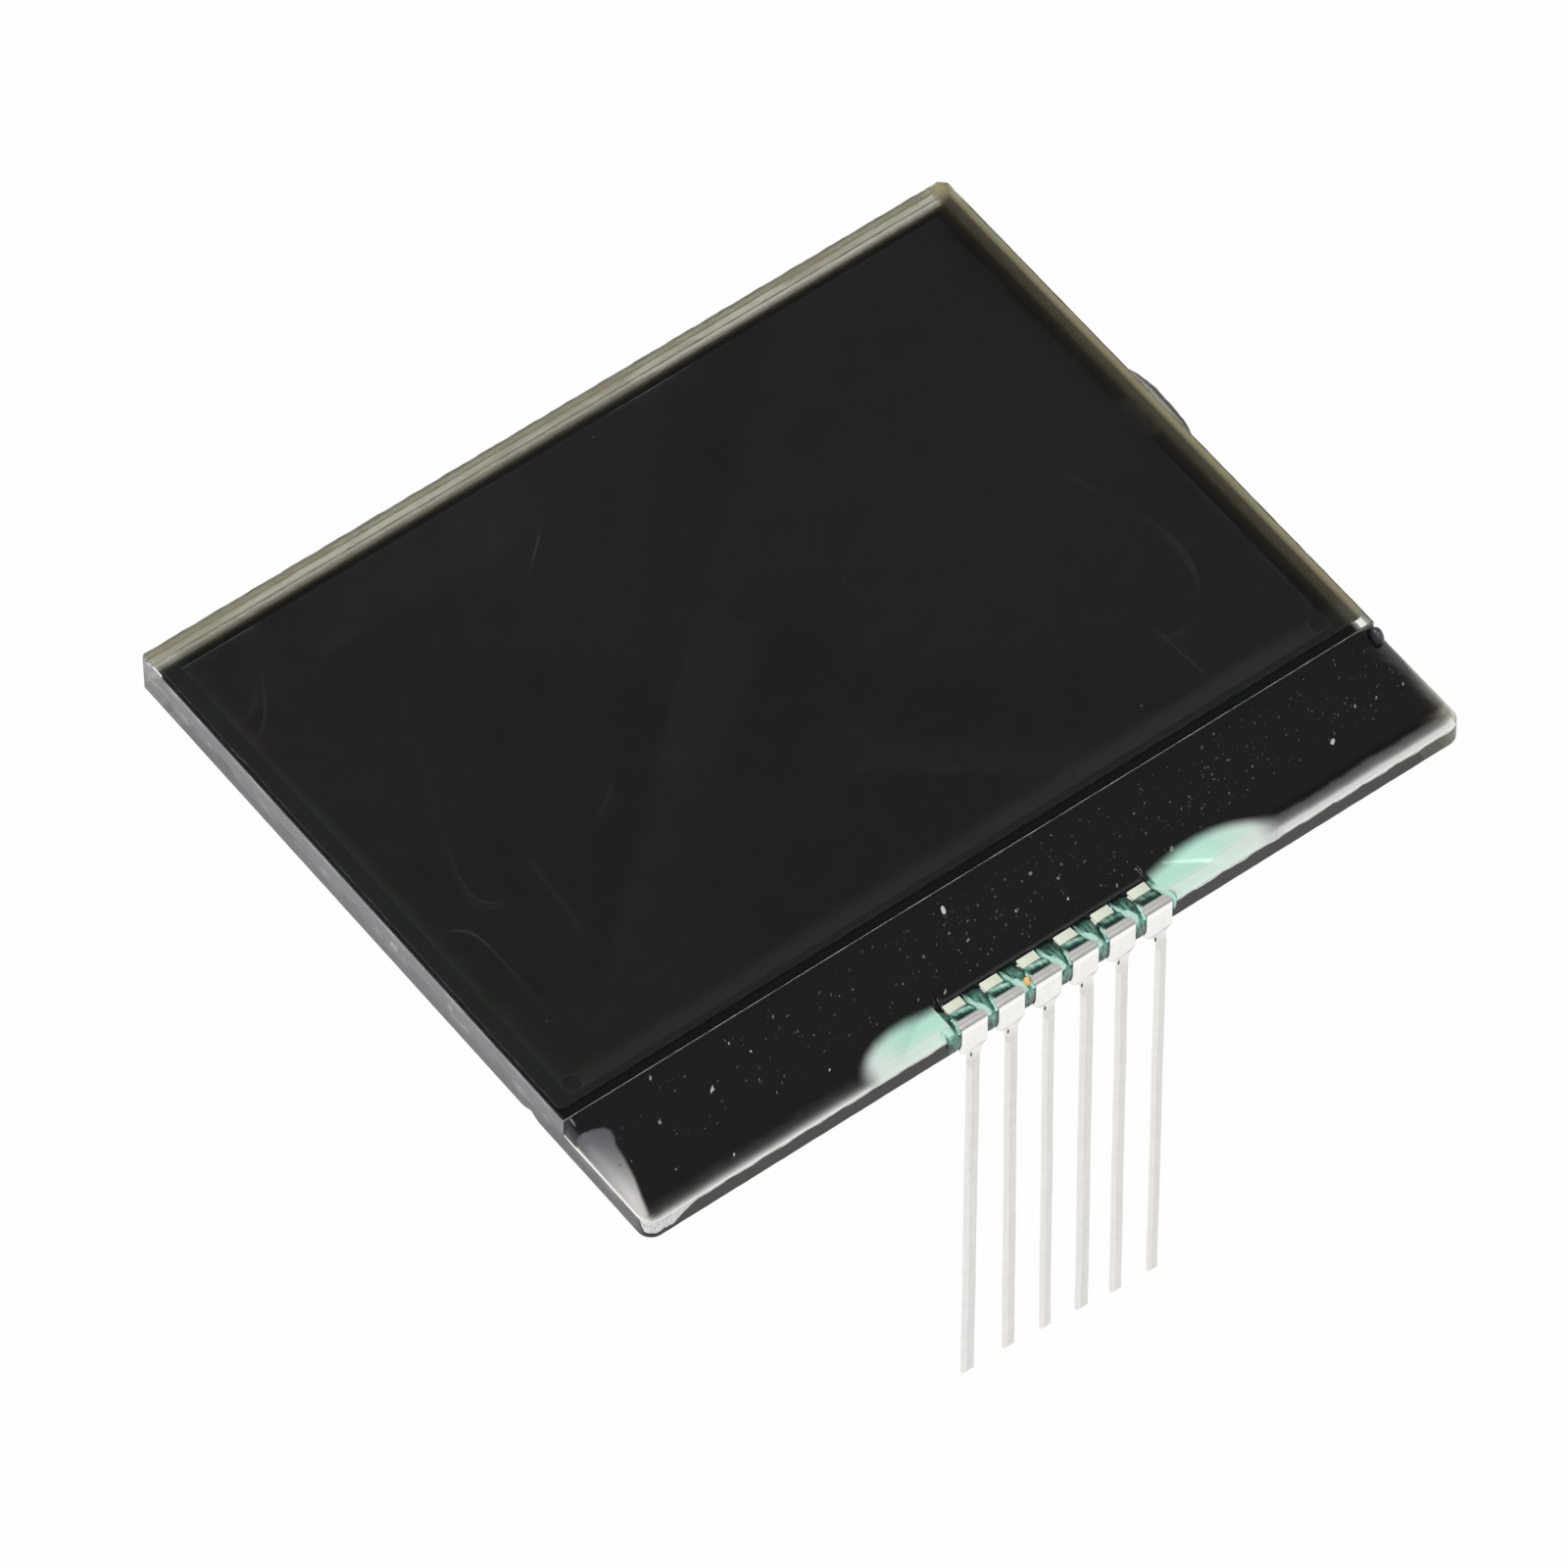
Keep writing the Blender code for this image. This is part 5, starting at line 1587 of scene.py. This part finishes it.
@dataclass
class GlueBead:
    """Green adhesive: ends on the ledge, ropes between the pins and pools in their arches."""

    layout: Layout
    effects: SharedEffects
    potting: LedgePotting
    sizes: PinSizes = PinSizes()
    plan: GluePlan = GluePlan()
    pitch: float = 2.0 * MM
    pin_count: int = 6
    height: float = 0.36 * MM
    lift: float = 0.03 * MM
    bed: Rope = Rope(((1.66, 0.02, 0.0), (0.8, 0.10, 0.4), (-0.02, 0.16, 0.16), (-0.05, -0.98, 0.0)),
                     (0.0, 0.02), (0.56, 0.42, 0.32), 0.12, 0.34)
    left_strand: Rope = Rope(((1.6, 0.10, 0.0), (0.7, 0.27, 0.5), (0.0, 0.40, 0.2),
                              (-0.05, -0.45, 0.0)), (-0.36, -0.10), (0.08, 0.25, 0.15), 0.07, 1.15)
    right_strand: Rope = Rope(((1.0, 0.16, 0.0), (0.6, 0.30, 0.3), (0.0, 0.36, 0.2),
                               (-0.05, -0.75, 0.0)), (0.46, 0.26), (0.04, 0.10, 0.07), 0.06, 1.0)
    # How bright the streak of painted light in each pool is, from left to right.
    pool_mint: tuple[float, ...] = (0.80, 0.95, 0.90, 0.75, 0.38, 0.30)

    def build(self) -> None:
        """Make the ends, the ropes and the pools."""
        ends = [self._end(sign) for sign in (-1.0, 1.0)]
        item = lofts("glue_ends", [body for body, _ in ends], 50.0)
        for label in ("depth", "thinned", "line", "body"):
            values = [np.concatenate([given[label], given[label][:, ::-1]], axis=1).ravel()
                      for _, given in ends]
            set_attribute(item, label, np.concatenate(values))
        dress(item, MilkyGel().build(self.effects))
        place_piece(item, Slot.GEL, "pin_glue_bead")
        gel = RopeGel().build(self.effects)
        ropes = [self._rope(number, rope) for number in range(self.pin_count)
                 for rope in (self.bed, self.left_strand, self.right_strand)]
        ropes.append(self._rope(self.pin_count, self.left_strand))
        self._add("glue_ropes", ropes, gel)
        self._add("glue_pools", [self._pool(number) for number in range(self.pin_count)], gel)
        self._amber()

    @staticmethod
    def _add(name: str, parts: list[tuple[np.ndarray, np.ndarray]],
             gel: bpy.types.Material) -> None:
        """Make one object of several bodies with their mint values."""
        item = lofts(name, [body for body, _ in parts], 60.0)
        mint = np.concatenate([values.ravel() for _, values in parts])
        set_attribute(item, "mint", mint)
        set_attribute(item, "streaky", smooth_step(mint, 0.0, 0.3))
        dress(item, gel)
        place_piece(item, Slot.GEL)

    def _end(self, sign: float) -> tuple[np.ndarray, dict[str, np.ndarray]]:
        """One end: a layer over the potting, which fades out at its tip and its inner side.

        Its height is the smooth larger one of its own rounded body and the potting, plus a lift.
        Past the fade at its inner side the lift turns negative, so that it ends under the potting.

        Args:
            sign: -1 for the left end and 1 for the right one.

        Returns:
            Loops, and the finish's numbers for the upper points.
        """
        share = np.linspace(0.0, 1.0, 120)
        start, tip = (5.9 * MM, 5.74 * MM)[sign > 0.0], self.plan.end(sign)
        x = sign * (start + (tip - start) * share)
        edge = self.layout.ledge_edge + 0.015 * MM
        outline = self.plan.depth(x)[:, None]
        reach = outline + self.plan.fade + 0.06 * MM
        depth = np.linspace(0.0, 1.0, 56)[None, :]
        y = edge + reach * depth
        plan_x = np.broadcast_to(x[:, None], y.shape)
        inside = y - edge
        taper = np.sqrt(np.clip(1.0 - share ** 3, 0.0, 1.0))[:, None]
        own = self.height * quarter_round(inside, 0.6 * MM) * taper
        under = self.potting.height(plan_x, y)
        larger = 0.5 * (own + under + np.sqrt((own - under) ** 2 + (0.04 * MM) ** 2))
        lift = self.lift * (1.0 - 2.0 * smooth_step(inside - outline, 0.8 * self.plan.fade,
                                                    self.plan.fade + 0.06 * MM))
        lift *= 1.0 + 0.2 * waver(plan_x + y, 131, 1.5 * MM)
        front = quarter_round(inside, 0.08 * MM)
        height = 0.012 * MM + (larger + lift - 0.012 * MM) * front
        top = self.layout.ledge_top + height
        bottom = np.full_like(top, self.layout.ledge_top + 0.002 * MM)
        # Painted light and shade: the rim before the crease line is painted pale, and a darker line of
        # painted shade runs along it.
        crease = 0.48 * MM + 0.03 * MM * waver(plan_x, 137, 4.0 * MM)
        numbers = {
            "depth": smooth_step(inside - crease, -0.03 * MM, 0.22 * MM),
            "thinned": smooth_step(share, 0.35, 0.95)[:, None] * np.ones_like(y),
            "line": 0.35 * np.exp(-((inside - crease) / (0.035 * MM)) ** 2)
            * (1.0 - smooth_step(share, 0.4, 0.8))[:, None],
            "body": smooth_step(outline - inside, -self.plan.fade, self.plan.fade)
            * (1.0 - smooth_step(share, 0.72, 0.97))[:, None]}
        return height_body(plan_x, y, top, bottom), numbers

    def _rope(self, number: int, rope: Rope) -> tuple[np.ndarray, np.ndarray]:
        """Sweep an ellipse along a rope's line, with rounded ends and wavering sizes.

        Args:
            number: which gap, from 0 on the left.
            rope: the rope's shape.

        Returns:
            Loops, and how mint each point is.
        """
        place = self.layout
        middle = (number - self.pin_count / 2) * self.pitch
        corners = [(place.ledge_edge + out * MM, place.ledge_top + rise * MM, radius * MM)
                   for out, rise, radius in rope.line]
        path = even_path(bent_path(corners, 10), 0.04 * MM)
        share = np.linspace(0.0, 1.0, len(path))
        along = np.gradient(path, axis=0)
        along /= np.linalg.norm(along, axis=1)[:, None]
        normal = np.stack([-along[:, 1], along[:, 0]], axis=1)
        seed = 150 + 10 * number + int(10 * rope.mint)
        ends = np.sqrt(np.clip(1.0 - (2.0 * share - 1.0) ** 8, 0.0, 1.0)) + 0.02
        half = np.interp(share, (0.0, 0.5, 1.0), rope.halves) * MM * ends
        half *= 1.0 + 0.10 * waver(share, seed, 0.7)
        thick = rope.thick * MM * ends * (1.0 + 0.15 * waver(share, seed + 1, 0.5))
        angle = np.linspace(0.0, 2.0 * math.pi, 25)[:-1]
        drift = rope.offsets[0] + (rope.offsets[1] - rope.offsets[0]) * smooth_step(share, 0.1, 0.8)
        drift = (drift + 0.02 * waver(share, seed + 2, 0.8)) * MM
        x = middle + drift[:, None] + half[:, None] * np.cos(angle)[None, :]
        lift = thick[:, None] * np.sin(angle)[None, :]
        y = path[:, :1] - normal[:, :1] * lift
        z = path[:, 1:] - normal[:, 1:] * lift
        # Painted shade: the mint falls off towards the rope's ends and its sides.
        swell = np.sin(math.pi * share) ** 0.8 * (1.0 + 0.25 * waver(share, seed + 3, 0.5))
        middle_part = 1.0 - 0.6 * np.abs(np.cos(angle)) ** 3
        return np.stack([x, y, z], axis=-1), rope.mint * swell[:, None] * middle_part[None, :]

    def _pool(self, number: int) -> tuple[np.ndarray, np.ndarray]:
        """Adhesive in the hollow between a pin's tab and its crest: a lens that sags along Y.

        A mint streak of painted light lies across it near the tab, and around it the pool is dark
        with painted shade in the hollow.
        """
        place, size = self.layout, self.sizes
        middle = (number - (self.pin_count - 1) / 2) * self.pitch
        start = place.ledge_edge + 0.32 * MM
        end = place.ledge_edge + 1.0 * MM
        share = np.linspace(0.0, 1.0, 26)
        y = start + (end - start) * share
        ramp = place.ledge_top + 0.23 * MM + size.arch_rise * (1.0 - share) * 0.82
        sag = 0.10 * MM * np.sin(math.pi * share) + 0.01 * MM
        across = np.linspace(-1.0, 1.0, 16)
        x = middle + size.tab_width / 2 * 1.06 * across[:, None] * np.ones_like(share)[None, :]
        top = (ramp + sag)[None, :] - 0.03 * MM * across[:, None] ** 2
        bottom = (ramp - 0.06 * MM)[None, :] * np.ones_like(across)[:, None]
        plan_y = np.broadcast_to(y[None, :], x.shape)
        # Painted light: a mint streak across the pool near the tab; the rest is dark, as painted shade.
        painted_light_streak = np.exp(-((share[None, :] - 0.58 + 0.18 * across[:, None]) / 0.26) ** 2)
        mint = self.pool_mint[number] * painted_light_streak * (1.0 - 0.7 * across[:, None] ** 4) + 0.04
        return (height_body(x, plan_y, top, bottom),
                np.concatenate([mint, mint[:, ::-1]], axis=1))

    def _amber(self) -> None:
        """A grain of amber resin caught beside the third pin."""
        place = self.layout
        centre = (-1.86 * MM, place.ledge_edge + 0.22 * MM, place.ledge_top + 0.46 * MM)
        item = loft("amber_grain", uneven_ball(centre, (0.14 * MM, 0.17 * MM, 0.30 * MM), 0.12), 60.0)
        dress(item, PlainFinish("amber_resin", (0.92, 0.62, 0.24), (0.78, 0.46, 0.13), 5000.0,
                                (0.15, 0.3)).build(self.effects))
        place_piece(item, Slot.GEL)


@dataclass
class DriverChip:
    """Silicon chip and its bonding film, under the potting."""

    effects: SharedEffects

    def build(self) -> None:
        """Dress both CAD nodes."""
        nodes = frame["nodes"]
        silicon = PlainFinish("silicon_die", (0.20, 0.20, 0.23), (0.10, 0.10, 0.12), 600.0,
                              (0.12, 0.25), metallic=0.7)
        dress(nodes["driver_chip"], silicon.build(self.effects))
        film = PlainFinish("anisotropic_bond_film", (0.36, 0.29, 0.15), (0.20, 0.16, 0.09), 4000.0,
                           (0.35, 0.6))
        dress(nodes["chip_bond_film"], film.build(self.effects))


@dataclass
class Studio:
    """White floor, even light and the camera."""

    camera_place: tuple[float, float, float] = (-224.717 * MM, -284.522 * MM, 536.985 * MM)
    azimuth: float = -36.400
    elevation: float = 53.852
    roll: float = -0.623
    lens: float = 334.6
    floor_radius: float = 6.0
    horizon: float = 0.95
    zenith: float = 0.20

    def build(self) -> None:
        """Make the floor, the world, the lamps and the camera."""
        self._floor()
        self._world()
        self._lamp("key_softbox", (-0.30, -0.42, 0.72), 0.42, 2.55)
        self._lamp("side_softbox", (-0.42, 0.34, 0.50), 0.26, 1.6)
        self._camera()
        scene = bpy.context.scene
        scene.view_settings.view_transform = "Standard"

    def _floor(self) -> None:
        """A round floor that is white to the eye and keeps a soft shadow."""
        angle = np.linspace(0.0, 2.0 * math.pi, 97)[:-1]
        ring = np.stack([np.cos(angle), np.sin(angle), np.zeros_like(angle)], axis=1)
        level = CAD_BOUNDS[0][2] - 0.02 * MM
        points = ring * self.floor_radius + np.array([0.0, 0.0, level])
        item = new_piece("studio_floor", points, [list(range(len(points)))])
        material = bpy.data.materials.new("studio_white")
        material.use_nodes = True
        wiring = Wiring(material.node_tree)
        material.node_tree.nodes.clear()
        diffuse = wiring.add("ShaderNodeBsdfDiffuse")
        diffuse.inputs["Color"].default_value = (0.88, 0.88, 0.88, 1.0)
        glow = wiring.add("ShaderNodeEmission")
        glow.inputs["Strength"].default_value = 1.0
        mix = wiring.add("ShaderNodeMixShader")
        wiring.feed(mix.inputs[0], wiring.math("MULTIPLY", self._seen(wiring), 0.975))
        wiring.feed(mix.inputs[1], diffuse.outputs[0])
        wiring.feed(mix.inputs[2], glow.outputs[0])
        out = wiring.add("ShaderNodeOutputMaterial")
        wiring.feed(out.inputs["Surface"], mix.outputs[0])
        dress(item, material)

    @staticmethod
    def _seen(wiring: Wiring) -> bpy.types.NodeSocket:
        """1 for camera, glossy and transmission rays, else 0."""
        path = wiring.add("ShaderNodeLightPath")
        seen = wiring.math("MAXIMUM", path.outputs["Is Camera Ray"], path.outputs["Is Glossy Ray"])
        return wiring.math("MAXIMUM", seen, path.outputs["Is Transmission Ray"])

    def _world(self) -> None:
        """A room that is white near the horizon and dim overhead."""
        world = bpy.data.worlds.new("studio_room")
        bpy.context.scene.world = world
        world.use_nodes = True
        wiring = Wiring(world.node_tree)
        back = world.node_tree.nodes["Background"]
        split = wiring.add("ShaderNodeSeparateXYZ")
        wiring.feed(split.inputs[0], wiring.add("ShaderNodeTexCoord").outputs["Generated"])
        level = wiring.span(split.outputs["Z"], 0.30, 0.72, self.horizon, self.zenith)
        path = wiring.add("ShaderNodeLightPath")
        white = wiring.math("MAXIMUM", path.outputs["Is Camera Ray"], level)
        wiring.feed(back.inputs["Strength"], white)
        back.inputs["Color"].default_value = (1.0, 1.0, 1.0, 1.0)

    @staticmethod
    def _lamp(name: str, place: tuple[float, float, float], size: float, power: float) -> None:
        """A square softbox that faces the panel."""
        data = bpy.data.lights.new(name, "AREA")
        data.size = size
        data.energy = power
        lamp = bpy.data.objects.new(name, data)
        bpy.context.scene.collection.objects.link(lamp)
        lamp.location = place
        target = Vector((0.0, 0.018, 0.026))
        lamp.rotation_mode = "QUATERNION"
        lamp.rotation_quaternion = (target - Vector(place)).to_track_quat("-Z", "Y")

    def _camera(self) -> None:
        """The camera at the photograph's angle, rolled about its own line of sight."""
        data = bpy.data.cameras.new("photo_camera")
        data.sensor_width = 36.0
        data.lens = self.lens
        data.clip_start = 0.01
        camera = bpy.data.objects.new("photo_camera", data)
        bpy.context.scene.collection.objects.link(camera)
        turn, tilt = math.radians(self.azimuth), math.radians(self.elevation)
        ahead = Vector((-math.sin(turn) * math.cos(tilt), math.cos(turn) * math.cos(tilt),
                        -math.sin(tilt)))
        right = ahead.cross(Vector((0.0, 0.0, 1.0))).normalized()
        up = right.cross(ahead)
        roll = math.radians(self.roll)
        right, up = (right * math.cos(roll) + up * math.sin(roll),
                     up * math.cos(roll) - right * math.sin(roll))
        turned = Matrix((right, up, -ahead)).transposed().to_4x4()
        camera.matrix_world = Matrix.Translation(self.camera_place) @ turned
        bpy.context.scene.camera = camera


def main() -> None:
    """Build every sub-assembly, then the studio."""
    logging.basicConfig(level=logging.INFO, format="%(name)s: %(message)s")
    layout = Layout.from_frame()
    effects = SharedEffects()
    GlassSandwich(layout, effects).build()
    PolarisingFilms(effects).build()
    EndSealBump(effects).build()
    DriverChip(effects).build()
    potting = LedgePotting(layout, effects)
    potting.build()
    PinRow(layout, effects).build()
    GlueBead(layout, effects, potting).build()
    Studio().build()
    bpy.context.view_layer.update()


if __name__ == "__main__":
    main()
